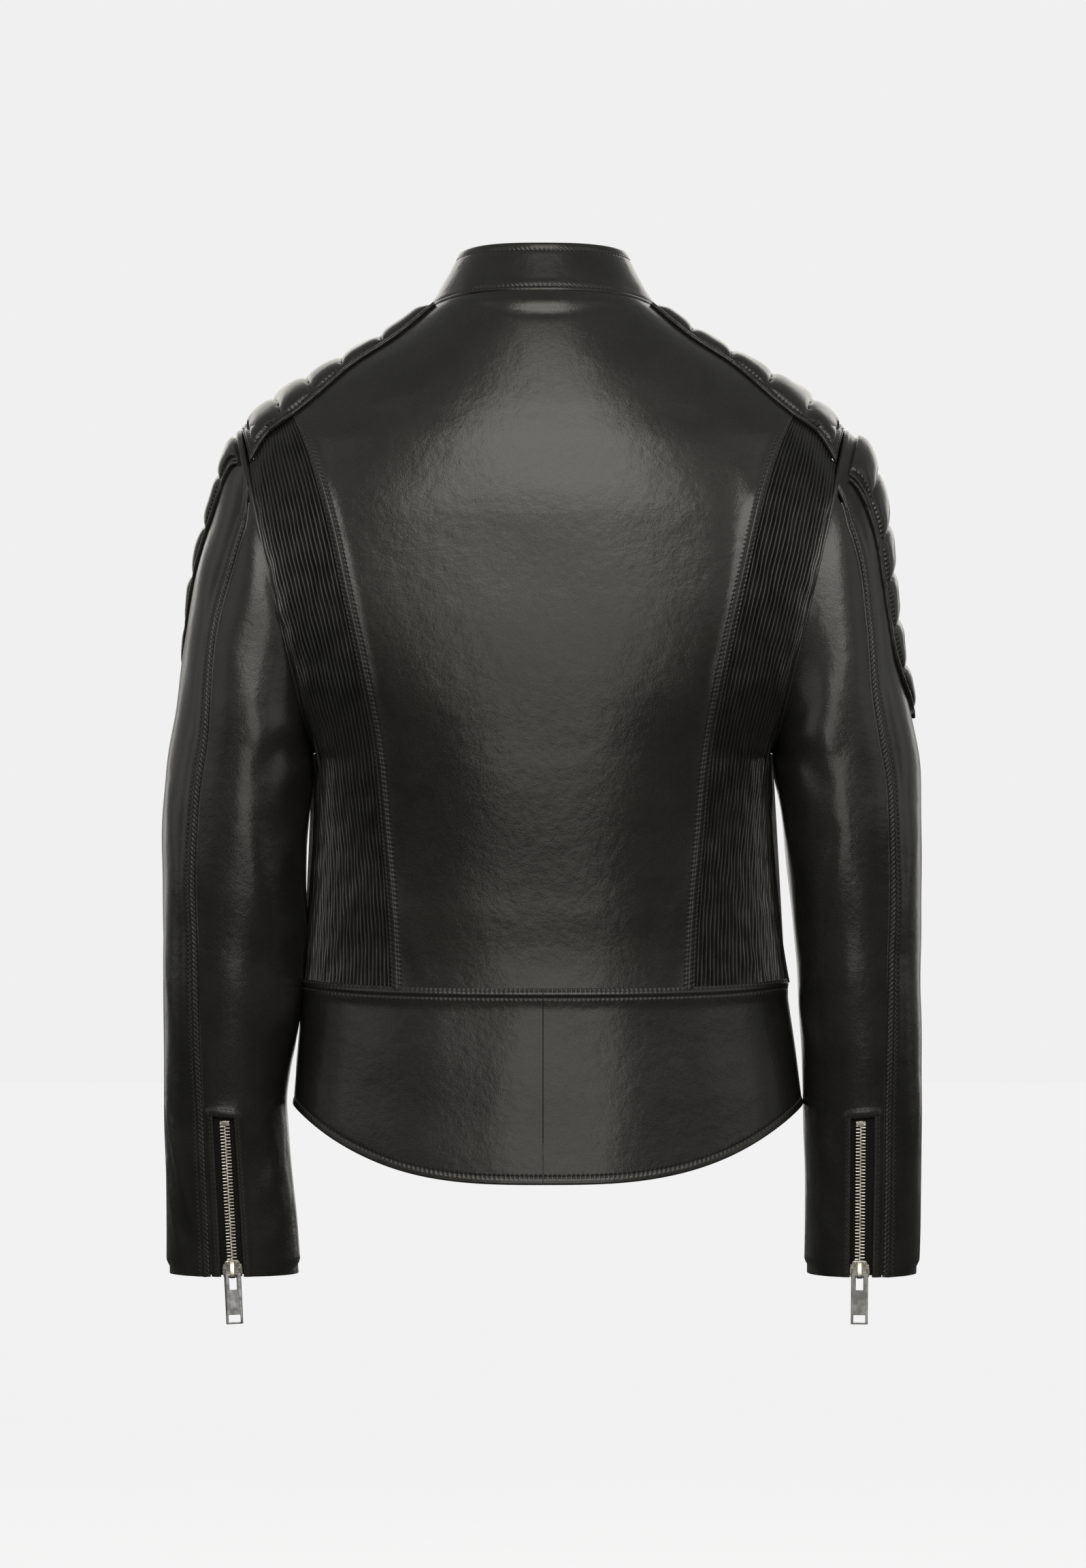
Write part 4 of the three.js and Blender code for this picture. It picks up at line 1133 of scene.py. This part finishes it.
def make_tape(name, frame, low, high, x_low, x_high, body, node):
    """Woven tape with a bead along each edge, drawn on its section."""
    middle, half = (x_low + x_high) / 2, (x_high - x_low) / 2
    bead = ((0.84, 0.2), (0.88, 0.34), (0.97, 0.34), (1, 0.25))
    upper = [(x * half, y) for x, y in reversed(bead)] + [(-x * half, y) for x, y in bead]
    section = np.array(upper + [(x, -y) for x, y in reversed(upper)])
    z = np.linspace(low, high, max(6, int((high - low) / 6)))
    y = (TAPE["low"] + TAPE["high"]) / 2 + 0.08 * np.sin(z / 9)
    path = placed(frame, np.stack([0 * z + middle, y, z], axis=1))
    out = np.broadcast_to(frame[1][1], path.shape)
    dress(tube(name, path, out, 1.0, section), "tape", body, node)


def bar(x, y, z, centre):
    """A block of this size."""
    cx, cy, cz = centre
    outline = [(cx + a * x / 2, cz + b * z / 2) for a, b in ((-1, -1), (1, -1), (1, 1), (-1, 1))]
    return prism(outline, cy - y / 2, cy + y / 2)


def strap_prism(outline, low, high):
    """A closed prism on a (z, y) outline, from x = low to x = high."""
    points, faces = prism(outline, low, high)
    return points[:, [1, 2, 0]], faces


def make_runner(name, frame, at, body, puller_body, nodes):
    """A zip's slider, with the bridge that holds its puller, and the puller on its hinge."""
    seat = moved(frame, (0, 0, at))
    flank = [(4.6, 6.4), (5.3, 5.4), (5.6, 3.6), (7.2, 1.2), (7.4, -2.6), (6.6, -5), (5.4, -6.6)]
    plate = [(-4.6, 6.4), *flank, *((-x, z) for x, z in flank[:0:-1])]
    arch = [(-6.4, 2.0), (-6.4, 4.6), (-5.2, 5.9), (-2.4, 6.1), (1.2, 5.0), (4.6, 3.2), (6.0, 2.0), (3.2, 2.0),
            (0.6, 3.4), (-2.0, 4.8), (-4.3, 4.8), (-5.3, 3.9), (-5.3, 2.0)]
    lip, ear = ((1.5, 3.2, 9.2), (6.1, -0.6, -1.3)), ((1.6, 2.4, 3.4), (3.3, 2.9, 4.3))
    ridge = ((1.0, 1.2, 5.0), (5.4, 2.2, -1.2))
    blocks = [bar(*size, (side * x, y, z)) for size, (x, y, z) in (lip, ear, ridge) for side in (1, -1)]
    parts = [prism(plate, 0.7, 2.2), strap_prism(arch, -1.65, 1.65), *blocks]
    dress(rounded(f"{name}_runner", parts, seat, 0.42, 3), "nickel", body, nodes[0])

    down = frame[1] @ np.array([0, 0, -1.0])
    hinge = moved(seat, (0, PIVOT["height"], -PIVOT["drop"]), max(0.0, math.atan2(down[1], -down[2])))
    xs = [-6.15, -4.4, -2.75, 2.75, 4.4, 6.15]
    zs = [-36.0, -34.8, -29.3, -11.2, -1.0, 1.1]
    window, slot = (-2.75, 2.75, -11.2, -1.0), (-4.4, 4.4, -34.8, -29.3)
    blade = cut_plate(xs, zs, -0.75, 0.75, [window, slot])
    dress(rounded(f"{name}_pull", [blade], hinge, 0.38, 3), "gunmetal", puller_body, nodes[1])


def make_short_zip(kind, name, frame, length, teeth, at, body, stop):
    """A cuff's or pocket's zip. at is the slider's place, and stop is how far below the chain's top it ends."""
    tape = f"{kind}_tape_{name}"
    make_tape(tape, frame, 1, length + 4, -TAPE["half"], TAPE["half"], body, f"{kind}_zip_tape_{name}")
    stop = teeth[1] - stop
    parts = teeth_between(*teeth)
    parts += [bar(6.8, 3.6, 3.6, (0, -1.5, stop)), bar(3.0, 4.4, 3.2, (0, -1.4, stop + 0.6))]
    chain = rounded(f"{kind}_teeth_{name}", parts, frame, 0.16, 1)
    dress(chain, "nickel", body, f"{kind}_zip_teeth_{name}")
    nodes = (f"{kind}_slider_{name}", f"{kind}_puller_{name}")
    make_runner(f"{kind}_{name}", frame, at, f"{name}_{kind}_slider", f"{name}_{kind}_puller", nodes)


def frame_stitches(place, grid, path):
    """Stitches through these (s, t) places of a grid."""
    stops = np.array(path, float)
    far = np.concatenate([[0], np.cumsum(np.hypot(*np.diff(stops, axis=0).T))])
    fine = np.linspace(0, far[-1], 400)
    sew(place, *grid.at(np.interp(fine, far, stops[:, 0]), np.interp(fine, far, stops[:, 1])))


def window_grid(surface, inside, centre, width, t_low, t_high, **shape):
    """A grid with a zip's window, which is centred on s = centre and has this width in s."""
    return Grid(surface, inside, hole=(centre - width / 2, centre + width / 2, t_low, t_high), **shape)


# ---- Fronts ----------------------------------------------------------------------------------
POCKET = {"top": (0.46, 9.35), "foot": (0.56, 10.95), "centre": 0.5}


def front_surface(side):
    """s runs from the zip to the side, with the pocket's zip at POCKET["centre"]."""

    def surface(s, t):
        level = lerp(0.06, HEM, t)
        share = np.where(level < YOKE_END, piping_share(level, False), 1)
        end = share - 0.8 / (ring_end(side, level, False)[0] * 1.2)
        start = share_at(WINDOW, side, level, False)
        down = np.clip((level - POCKET["top"][1]) / (POCKET["foot"][1] - POCKET["top"][1]), 0, 1)
        pocket = lerp(POCKET["top"][0], POCKET["foot"][0], down)
        pocket = np.minimum(pocket, lerp(start, end, 0.7))
        centre = POCKET["centre"]
        before, after = lerp(start, pocket, s / centre), lerp(pocket, end, (s - centre) / (1 - centre))
        place = np.where(s < centre, before, after)
        return torso_point(side, False, place, level)

    return surface


def pocket_frame(side):
    """The frame of a pocket's zip, which bridges the panel's curve, and the zip's length."""
    surface = lambda share, level: torso_point(side, False, share, level)
    spot = (0.51, 10.15)
    top, foot, middle = (surface(*place) for place in (POCKET["top"], POCKET["foot"], spot))
    out = facing(surface, *spot, 0.01, in_torso(middle))
    proud = (middle - (top + foot) / 2) @ out
    return zip_frame(foot + out * (proud / 2 - 0.5), top - foot, out), float(np.linalg.norm(top - foot))


def make_front(name, side):
    low, high = ((level - 0.06) / (HEM - 0.06) for level in (POCKET["top"][1], POCKET["foot"][1]))
    surface = front_surface(side)
    across = lengths(surface(np.linspace(0, 1, SAMPLES), np.full(SAMPLES, (low + high) / 2)))[-1]
    width = 2 * WINDOW / (across * 1.02)
    grid = window_grid(surface, in_torso, POCKET["centre"], width, low, high, bands=(9, 3, 3, 8))
    height = 0.5 * waves(grid.base, 110, 31) + 0.25 * waves(grid.base, 45, 32) + roll(grid.edge, 1.0)
    height += double_row(grid, "left") + grid.stitch("bottom", 5.6) + 0.5 * (1 - smooth(3, 7, grid.bottom))
    height += 0.7 * (1 - smooth(2, 6, grid.window)) - 0.35 * bell(grid.window - 2.2, 0.8)
    panel(f"front_{name}", grid, height, "fronts", "torso", f"front_panel_{name}")
    s0, s1 = POCKET["centre"] - width * 0.64, POCKET["centre"] + width * 0.64
    t0, t1 = low - 0.0035, high + 0.0035
    frame_stitches("fronts", grid, [(s0, t0), (s1, t0), (s1, t1), (s0, t1), (s0, t0)])
    frame, length = pocket_frame(side)
    make_short_zip("pocket", name, frame, length, (1, length - 1), length - 8, "torso", 1.4)


def make_front_zip():
    top, foot = (np.array([0, front_y(z), z]) for z in (-92, -592))
    frame = zip_frame(foot, top - foot, (0, -1, 0))
    length = float(np.linalg.norm(top - foot))
    for name, side in (("left", -1), ("right", 1)):
        x = sorted((side * 0.25, side * TAPE["half"]))
        make_tape(f"front_tape_{name}", frame, 0, length - 4, *x, "torso", f"front_zip_tape_{name}")
        parts = teeth_between(6, length - 14, (side,))
        parts.append(bar(4.1, 4.2, 10.5, (side * 2.35, -1.6, 3.4)))
        chain = rounded(f"front_teeth_{name}", parts, frame, 0.16, 1)
        dress(chain, "nickel", "torso", f"front_zip_teeth_{name}")
    ends = ("front_slider", "front_puller")
    make_runner("front", frame, length - 14, *ends, ends)


# ---- Sleeves ---------------------------------------------------------------------------------
def in_sleeve(sleeve):
    def inside(points):
        ring = np.interp(-points[..., 2], [97, 160, 300, 470, 620, 717], [0, 2, 5, 8, 10, 11])
        return arm_middle(sleeve, ring)

    return inside


def sleeve_panel(sleeve, first, last):
    def surface(s, ring):
        return sleeve_point(sleeve, lerp(first(ring), last(ring), s), ring)

    return surface


# Folds of the sleeves: points (angle, ring) along each, its width and its height.
SLEEVE_FOLDS = {
    "left": [
        ([(150, 0.6), (125, 2.2), (100, 4.2)], 9, 1.6), ([(168, 1.8), (140, 3.4), (112, 5.4)], 9, 1.3),
        ([(160, 1.0), (130, 2.8), (104, 4.8)], 7, -1.1), ([(176, 3.4), (150, 5.0), (128, 6.6)], 10, 1.1),
        ([(100, 5.2), (120, 6.6), (150, 7.4)], 11, 1.0), ([(20, 6.0), (45, 7.0), (64, 7.6)], 11, 1.0),
        ([(20, 9.6), (38, 10.0), (52, 10.6)], 6, 1.5), ([(14, 10.1), (30, 10.45), (46, 10.9)], 5, 1.4),
        ([(18, 9.85), (36, 10.25), (50, 10.75)], 5, -1.1), ([(170, 9.7), (140, 10.2), (112, 10.5)], 9, 1.2),
        ([(165, 10.3), (140, 10.6), (115, 10.8)], 8, 0.9), ([(60, 3.0), (48, 4.2), (52, 5.6)], 12, 0.9),
        ([(175, 7.6), (150, 8.4), (120, 8.8)], 11, 1.1), ([(10, 8.0), (35, 8.6), (58, 9.2)], 10, 1.0),
    ],
    "right": [
        ([(152, 0.8), (126, 2.4), (98, 4.4)], 10, 1.5), ([(170, 2.0), (142, 3.6), (110, 5.6)], 10, 1.2),
        ([(162, 1.4), (134, 3.0), (104, 5.0)], 7, -1.0), ([(178, 3.8), (152, 5.4), (126, 7.0)], 11, 1.1),
        ([(96, 5.6), (122, 6.8), (150, 7.6)], 12, 0.9), ([(24, 6.4), (44, 7.2), (62, 8.0)], 12, 0.9),
        ([(20, 9.4), (36, 9.9), (50, 10.4)], 9, 0.9), ([(172, 9.4), (145, 9.9), (116, 10.3)], 10, 1.0),
        ([(170, 10.2), (146, 10.5), (120, 10.8)], 8, 0.8), ([(175, 8.0), (150, 8.7), (122, 9.1)], 11, 1.0),
    ],
}


def sleeve_folds(grid, name, sleeve, angle):
    """A sleeve's soft unevenness, its cuff's rounded corners and its folds."""
    total = 0.4 * waves(grid.base, 85, 41) + 0.2 * waves(grid.base, 38, 42)
    total -= 4.5 * (1 - smooth(0, 11, grid.bottom)) * np.cos(np.radians(angle)) ** 6
    for stops, width, size in SLEEVE_FOLDS[name]:
        fine, steps = np.linspace(0, 1, 9), np.linspace(0, 1, len(stops))
        path = sleeve_point(sleeve, *(np.interp(fine, steps, turns) for turns in np.array(stops, float).T))
        total += fold(grid.base, path, width, size)
    return total


def make_outer_sleeve(name, sleeve, inside):
    outer = sleeve_panel(sleeve, lambda r: FRONT_SEAM_ANGLE + 0.5 + 0 * r, lambda r: back_seam_angle(r) - 0.1)
    grid = Grid(outer, inside, (0, 1), (0, CUFF_RING), 2.6, (2, 10, 3, 2))
    angle = lerp(FRONT_SEAM_ANGLE, back_seam_angle(grid.t), grid.s)
    height = sleeve_folds(grid, name, sleeve, angle) * smooth(0, 30, grid.top) + roll(grid.edge, 1.0)
    height += 0.8 * (1 - smooth(7, 15, grid.right)) + double_row(grid, "right", 0.03, 1, 1.3, 6.5, 0.9)
    body = f"{name}_sleeve"
    panel(f"outer_sleeve_{name}", grid, height, body, body, f"sleeve_outer_{name}")


def make_under_sleeve(name, sleeve, inside):
    """The panel with the cuff's zip, whose window ends in a stitched frame."""
    body = f"{name}_sleeve"
    under = sleeve_panel(sleeve, lambda r: back_seam_angle(r) + 0.3, lambda r: UNDER_PANEL_END + 0 * r)
    first = float(back_seam_angle(CUFF_RING)) + 0.3
    centre = (sleeve["zip_angle"] - first) / (UNDER_PANEL_END - first)
    shares = np.linspace(0, 1, SAMPLES)
    across = lengths(under(shares, np.full(SAMPLES, 10.4)))
    half = np.interp(np.interp(centre, shares, across) + WINDOW, across, shares) - centre
    grid = window_grid(under, inside, centre, 2 * half, CUFF_ZIP_TOP, CUFF_RING,
                       t_range=(0, CUFF_RING), bands=(2, 2, 3, 3))
    angle = lerp(back_seam_angle(grid.t), UNDER_PANEL_END, grid.s)
    height = sleeve_folds(grid, name, sleeve, angle) * smooth(0, 30, grid.top) * smooth(0, 14, grid.window)
    height += roll(grid.edge, 1.0) + 0.5 * (1 - smooth(4, 8, grid.window)) - 0.3 * bell(grid.window - 1.1, 0.7)
    height += sleeve["rest_on_body"](grid.t) * np.maximum(-np.cos(np.radians(angle)), 0) ** 3
    panel(f"under_sleeve_{name}", grid, height, body, body, f"sleeve_under_{name}")
    ring = (CUFF_RING - CUFF_ZIP_TOP) / 124  # a millimetre along the zip, in rings
    for far, above in ((8.5, 2.5 * 1.1), (11.0, 5.0 * 1.55)):
        s0, s1 = centre - half * far / WINDOW, centre + half * far / WINDOW
        top, foot = CUFF_ZIP_TOP - above * ring, CUFF_RING - 0.01
        frame_stitches(body, grid, [(s0, foot), (s0, top), (s1, top), (s1, foot)])


def make_cuff_zip(name, sleeve):
    surface = lambda angle, ring: sleeve_point(sleeve, angle, np.float64(ring))
    foot, top = (surface(sleeve["zip_angle"], ring) for ring in (CUFF_RING, CUFF_ZIP_TOP))
    middle = (CUFF_RING + CUFF_ZIP_TOP) / 2
    out = facing(surface, sleeve["zip_angle"], middle, 1, arm_middle(sleeve, middle))
    length = float(np.linalg.norm(top - foot))
    frame = zip_frame(foot, top - foot, out)
    make_short_zip("cuff", name, frame, length, (8, length - 2), 6.5, f"{name}_sleeve", 2.2)


def make_sleeve_seams(name, sleeve):
    """The seam allowances that close the armhole and the sleeve's two seams from within."""
    loop = sleeve_point(sleeve, np.linspace(0, 359, 150), np.zeros(150))
    body = f"{name}_sleeve"
    cord(f"armhole_seam_{name}", loop, unit(loop - loop.mean(0)), 3.0, 2.9, body)
    rings = np.linspace(0.3, CUFF_RING - 0.02, 110)
    for place, angle in (("back", back_seam_angle(rings) + 0.1), ("front", UNDER_PANEL_END + 0.3 + 0 * rings)):
        path = sleeve_point(sleeve, angle, rings)
        cord(f"sleeve_seam_{place}_{name}", path, unit(path - arm_middle(sleeve, rings)), 2.6, 2.1, body)


PAD_SEAMS = (1.3, 2.13, 2.9, 3.6, 4.3)
pad_half = through((47, 44, 39, 34, 28, 18, 8), (0.25, 1, 2, 3, 4, 4.7, 5.05))


def make_pad(name, sleeve):
    def surface(s, ring):
        return sleeve_point(sleeve, sleeve["quilt_middle"](ring) + s * pad_half(ring), ring)

    grid = Grid(surface, in_sleeve(sleeve), (-1, 1), (0.3, 5.12), 1.7, (7, 7, 2, 5))
    seams = [lambda s, ring=ring: ring + 0.12 * s * s for ring in PAD_SEAMS]
    free = np.minimum(np.maximum(grid.top - 1, 0) + 1.5, np.maximum(grid.bottom - 4, 0))
    height = quilted(grid, seams, 4.0, 1.6, 4.2, free)
    height = sum((0.6 * grid.stitch(kind, 3.9) for kind in ("left", "right")), height)
    height += 1.1 * roll(grid.edge, 1.0)
    body = f"{name}_sleeve"
    piece = panel(f"quilted_sleeve_{name}", grid, height, body, body, f"sleeve_quilt_{name}",
                  f"sleeve_foam_{name}", finish="quilt", under=-0.6, sharp=60)

    rings = [0.35, 1, 2, 3, 4, 4.7]
    tip = [(0.85, 5.06), (0, 5.2), (-0.85, 5.06)]
    stops = np.array([(1.06, r) for r in rings] + tip + [(-1.06, r) for r in rings[::-1]], float)
    turns, fine = np.linspace(0, 1, len(stops)), np.linspace(0, 1, 260)
    s, ring = (softened(np.interp(fine, turns, stops[:, k]), 17) for k in (0, 1))
    path = surface(s, ring)
    out = unit(path - in_sleeve(sleeve)(path))
    pinch = np.min([np.abs(ring - r - 0.13) for r in PAD_SEAMS], axis=0)
    radius = 1.5 + 0.1 * np.sin(fine * 170) + 0.07 * np.sin(fine * 411) - 0.4 * bell(pinch, 0.05)
    cord(f"sleeve_cord_{name}", path, out, -1.5, radius, body, f"sleeve_piping_{name}")


# ---- Collar, tab and loop --------------------------------------------------------------------
COLLAR_END = 0.965 * math.pi


def make_collar():
    def surface(s, t):
        return collar_point(s * COLLAR_END, lerp(1.0, 0.015, t))

    grid = Grid(surface, in_collar, (-1, 1), (0, 1), 1.9, (2, 2, 9, 6))
    height = 0.3 * waves(grid.base, 60, 51) + roll(grid.edge, 1.4)
    height += 0.5 * bell(grid.top - 2.5, 2.6) + grid.stitch("top", 6.4)
    height += 0.3 * bell(grid.bottom - 5.5, 2.0) + grid.stitch("bottom", 2.6)
    x, z = grid.base[..., 0], grid.base[..., 2]
    behind = grid.base[..., 1] > SIDE_Y
    for side in (1, -1):  # a dent and a swelling at each side of the neck
        height -= 1.5 * bell(np.hypot(side * x - 66, (z - 2) * 0.7), 9) * behind
        height += 0.8 * bell(np.hypot(side * x - 50, (z - 14) * 0.6), 12) * behind
    panel("collar", grid, height, "collar", "torso", "collar_outer", under=-1.6, coarse=2)

    lower = lambda s, t: surface(s * 0.999, lerp(0.01, 0.985, t))
    inner = Grid(lower, in_collar, (-1, 1), (0, 1), 3, (2, 2, 3, 2))
    inner.lift(-2.5 + 0.25 * waves(inner.base, 50, 52))
    dress(shell("collar_facing", inner, -4.0, coarse=1), "leather", "torso", "collar_lining")


def make_inner_seams():
    """The seam allowances that close the neck and the sides from within."""
    neck = collar_point(np.linspace(-1, 1, 160) * COLLAR_END, 0.02)
    cord("neck_seam", neck, unit(neck - in_collar(neck)), 2.7, 2.4, "torso")
    for name, side in SIDES.items():
        path = torso_point(side, True, np.ones(90), np.linspace(UNDERARM, HEM - 0.03, 90))
        cord(f"side_seam_{name}", path, np.tile((float(side), 0.0, 0.0), (90, 1)), 2.9, 2.4, "torso")


TAB = {"half": 10, "low": 3, "high": 5.4, "rise": 0.45, "past": 4}
SNAP_FROM_END = 9


def make_tab():
    root = collar_point(0.9 * math.pi, TAB["rise"])
    reach = 2 * root[0] + TAB["past"]
    out = unit(np.array([0, -1, 0.25]))
    x = np.array([-1.0, 0, 0])
    foot = np.array([root[0], collar_point(math.pi, TAB["rise"])[1], root[2]])
    frame = (foot, np.stack([x, np.cross(-x, out), out]))

    def surface(s, t):
        far = s * reach
        over = np.clip((far - (reach - TAB["half"])) / TAB["half"], 0, 0.985)
        half = TAB["half"] * np.sqrt(1 - over**2)
        return placed(frame, np.stack([far, (2 * t - 1) * half, 0 * far + TAB["high"]], axis=-1))

    grid = Grid(surface, lambda p: p - 10 * out, step=1.8, bands=(2, 4, 5, 5))
    height = roll(grid.edge, 1.1) + 0.15 * waves(grid.base, 25, 61)
    height = sum((grid.stitch(kind, 2.6, 0.03, 0.9) for kind in ("top", "bottom")), height)
    panel("strap", grid, height, "tab", "collar_tab", "collar_tab", under=TAB["low"] - TAB["high"])

    def lathe(name, profile, body, node):
        turn = np.arange(40) * 2 * math.pi / 40
        centre = np.array([reach - SNAP_FROM_END, 0, 0])
        rings = [
            centre + np.stack([r * np.cos(turn), r * np.sin(turn), 0 * turn + z], axis=1) for r, z in profile
        ]
        points = placed(frame, np.concatenate(rings))
        dress(new_mesh(name, points, ring_faces(len(profile), 40), sharp=40), "nickel", body, node)

    cap = [(5.9, 0), (6.5, 0.2), (6.6, 0.6), (6.3, 0.95), (5.7, 1.05), (5.2, 0.95), (4.9, 1.1), (4.2, 1.4),
           (3.2, 1.62), (2.0, 1.75), (0.9, 1.8), (0.2, 1.8)]
    stud = [(4.6, 0.6), (4.7, 0.8), (4.7, 1.2), (4.3, 1.4), (2.9, 1.45), (2.5, 1.7), (2.4, 2.2), (2.6, 2.5),
            (2.3, 2.7), (0.2, 2.7)]
    lathe("snap_dome", [(r, TAB["high"] + 0.2 + z) for r, z in cap], "collar_tab", "snap_cap")
    lathe("snap_post", stud, "torso", "snap_stud")


def make_loop():
    """The hanger loop, a flat strap that arches up from the neck seam."""
    half = [(-29.5, -12.5), (-24, -9), (-16, 0.4)]
    stops = np.array([*half, (0, 1.2), *((-x, z) for x, z in reversed(half))], float)
    fine = np.linspace(0, len(stops) - 1, 60)
    x, z = (softened(np.interp(fine, range(len(stops)), stops[:, k]), 13) for k in (0, 1))
    path = np.stack([x, 0 * x, z - 0.3], axis=1) + LOOP_AT
    strap = tube("loop", path, np.broadcast_to((0, 0, 1.0), path.shape), 3.9, round_section(14, 0.24, 4.0))
    dress(strap, "leather", "torso", "hanger_loop")


# ---- Linings ---------------------------------------------------------------------------------
def make_cloth(name, surface, inside, spans, depth, body, node, outside, seed):
    """A lining, cut to the size of the surface that it follows, with its unevenness fading out round its edge.
    """
    grid = Grid(surface, inside, *spans, 7)
    grid.lift(-depth + 0.35 * np.minimum(1, grid.edge / 20) * waves(grid.base, 45, seed))
    cloth = dress(shell(name, grid, -depth - 1.2, coarse=1), "lining", body, node)
    sides = [np.linalg.norm(np.diff(grid.points, axis=axis), axis=-1).sum(axis).mean() for axis in (1, 0)]


def make_linings():
    def half_front(side, first, last, high, low):
        return lambda s, t: torso_point(side, False, lerp(first, last, s), lerp(high, low, t))

    body_levels, whole = (0.35, 11.8), ((0, 1), (0, 1))
    back = lambda s, t: torso_point(1, True, s * 0.97, lerp(*body_levels, t))
    make_cloth("back_lining", back, in_torso, ((-1, 1), (0, 1)), LINING_DEPTH, "torso",
               "lining_back", "back", 71)
    for name, side in SIDES.items():
        front, sleeve = f"front_{name}", SLEEVES[name]
        make_cloth(f"front_lining_{name}", half_front(side, 0.06, 0.97, *body_levels), in_torso, whole,
                   LINING_DEPTH, "torso", f"lining_front_{name}", front, 72)
        make_cloth(f"pocket_lining_{name}", half_front(side, 0.34, 0.66, 9.2, 11.6), in_torso, whole,
                   POCKET_BAG_DEPTH, "torso", f"pocket_bag_{name}", front, 73)
        arm = lambda s, t, sleeve=sleeve: sleeve_point(sleeve, s, t)
        make_cloth(f"arm_lining_{name}", arm, in_sleeve(sleeve), ((0.5, 359.5), (1, 10.8)),
                   ARM_LINING_DEPTH, f"{name}_sleeve", f"sleeve_lining_{name}", f"outer_sleeve_{name}", 74)


# ---- Stage, light and camera -----------------------------------------------------------------
AIM = Vector((0, 0, -0.25))
FLOOR = -1.35  # as far below as when the jacket is worn
FLOOR_HALF = 14
SOFTBOX_FAR = 3.4
SOFTBOX_COLOUR = (1.0, 0.97, 0.9)


def glow(name, azimuth, elevation, width, height, radiance):
    """A softbox of this size in degrees, facing the jacket. Azimuth 0 is behind the wearer."""
    turn, rise = math.radians(azimuth), math.radians(elevation)
    way = Vector((math.sin(turn) * math.cos(rise), math.cos(turn) * math.cos(rise), math.sin(rise)))
    light = bpy.data.lights.new(name, "AREA")
    light.shape = "RECTANGLE"
    sizes = (2 * SOFTBOX_FAR * math.tan(math.radians(angle) / 2) for angle in (width, height))
    light.size, light.size_y = sizes
    light.energy = radiance * math.pi * light.size * light.size_y
    light.color = SOFTBOX_COLOUR
    lamp = bpy.data.objects.new(name, light)
    lamp.location = AIM + way * SOFTBOX_FAR
    lamp.rotation_euler = way.to_track_quat("Z", "Y").to_euler()
    lamp.visible_camera = False
    bpy.context.scene.collection.objects.link(lamp)


# Each softbox: azimuth, elevation, width and height in degrees, and radiance.
SOFTBOXES = {
    "key": (-1, 17.5, 27, 21, 3.8),
    "key_top": (-3, 35, 16, 14, 2.6),
    "collar": (-1, 48, 14, 7, 1.0),
    "low_back": (-1, -6, 15, 21, 1.3),
    "low_strip_left": (6.5, -6, 5, 20, 1.3),
    "low_strip_right": (-7.5, -6, 5, 20, 1.3),
    "side_left": (50, 14, 30, 44, 0.42),
    "side_right": (-50, 14, 30, 44, 0.42),
    "strip_right": (-25, 12, 6, 24, 0.7),
    "edge_left": (100, 10, 16, 40, 0.35),
    "edge_right": (-100, 10, 16, 40, 0.35),
    "front_key": (180, 24, 60, 36, 1.1),
    "front_low": (180, -2, 24, 20, 0.7),
    "front_left": (146, 8, 12, 36, 0.8),
    "front_right": (-146, 8, 12, 36, 0.8),
}


def make_floor():
    """A pale floor. It glows for the camera only, so that it stays even and doesn't light the jacket."""
    mesh = bpy.data.meshes.new("floor")
    corners = [(x * FLOOR_HALF, y * FLOOR_HALF, FLOOR) for x, y in ((-1, -1), (1, -1), (1, 1), (-1, 1))]
    mesh.from_pydata(corners, [], [(0, 1, 2, 3)])
    floor = bpy.data.objects.new("floor", mesh)
    bpy.context.scene.collection.objects.link(floor)
    look = Look("pale_floor", Roughness=0.8, Emission_Color=(0.852, 0.852, 0.852, 1))
    look.set(
        Base_Color=look.mix(look.noise(3.0, 4), (0.035, 0.035, 0.0345), (0.045, 0.045, 0.0445)),
        Emission_Strength=look.add("ShaderNodeLightPath", {}),
    )
    mesh.materials.append(look.material)


def make_world():
    """The backdrop that the camera sees, and a dimmer one that lights the jacket."""
    world = bpy.data.worlds.new("studio")
    bpy.context.scene.world = world
    world.use_nodes = True
    tree = world.node_tree
    path, shade = tree.nodes.new("ShaderNodeLightPath"), tree.nodes.new("ShaderNodeMix")
    shade.data_type = "RGBA"
    shade.inputs[6].default_value = (0.27, 0.27, 0.268, 1)
    shade.inputs[7].default_value = (0.87, 0.87, 0.87, 1)
    tree.links.new(path.outputs["Is Camera Ray"], shade.inputs[0])
    tree.links.new(shade.outputs[2], tree.nodes["Background"].inputs["Color"])


def make_camera():
    camera = bpy.data.cameras.new("camera")
    camera.sensor_width, camera.lens = 36, 125
    eye = bpy.data.objects.new("camera", camera)
    eye.location = (0, 3.947, -0.365)
    eye.rotation_euler = (math.radians(90), 0, math.radians(180))
    bpy.context.scene.collection.objects.link(eye)
    bpy.context.scene.camera = eye


make_back()
make_collar()
make_inner_seams()
make_tab()
make_loop()
make_front_zip()
make_linings()
for name, side in SIDES.items():
    make_ribs(name, side)
    make_lower_back(name, side)
    make_yoke(name, side)
    make_front(name, side)
    arm = SLEEVES[name]
    make_outer_sleeve(name, arm, in_sleeve(arm))
    make_under_sleeve(name, arm, in_sleeve(arm))
    make_cuff_zip(name, arm)
    make_sleeve_seams(name, arm)
    make_pad(name, arm)
STITCH_BODIES = {"tab": "collar_tab", "left_sleeve": "left_sleeve", "right_sleeve": "right_sleeve"}
for place in stitches:
    dress(make_stitches(place), "thread", STITCH_BODIES.get(place, "torso"))
make_floor()
make_world()
for name, values in SOFTBOXES.items():
    glow(name, *values)
make_camera()
bpy.context.scene.view_settings.view_transform = "Standard"
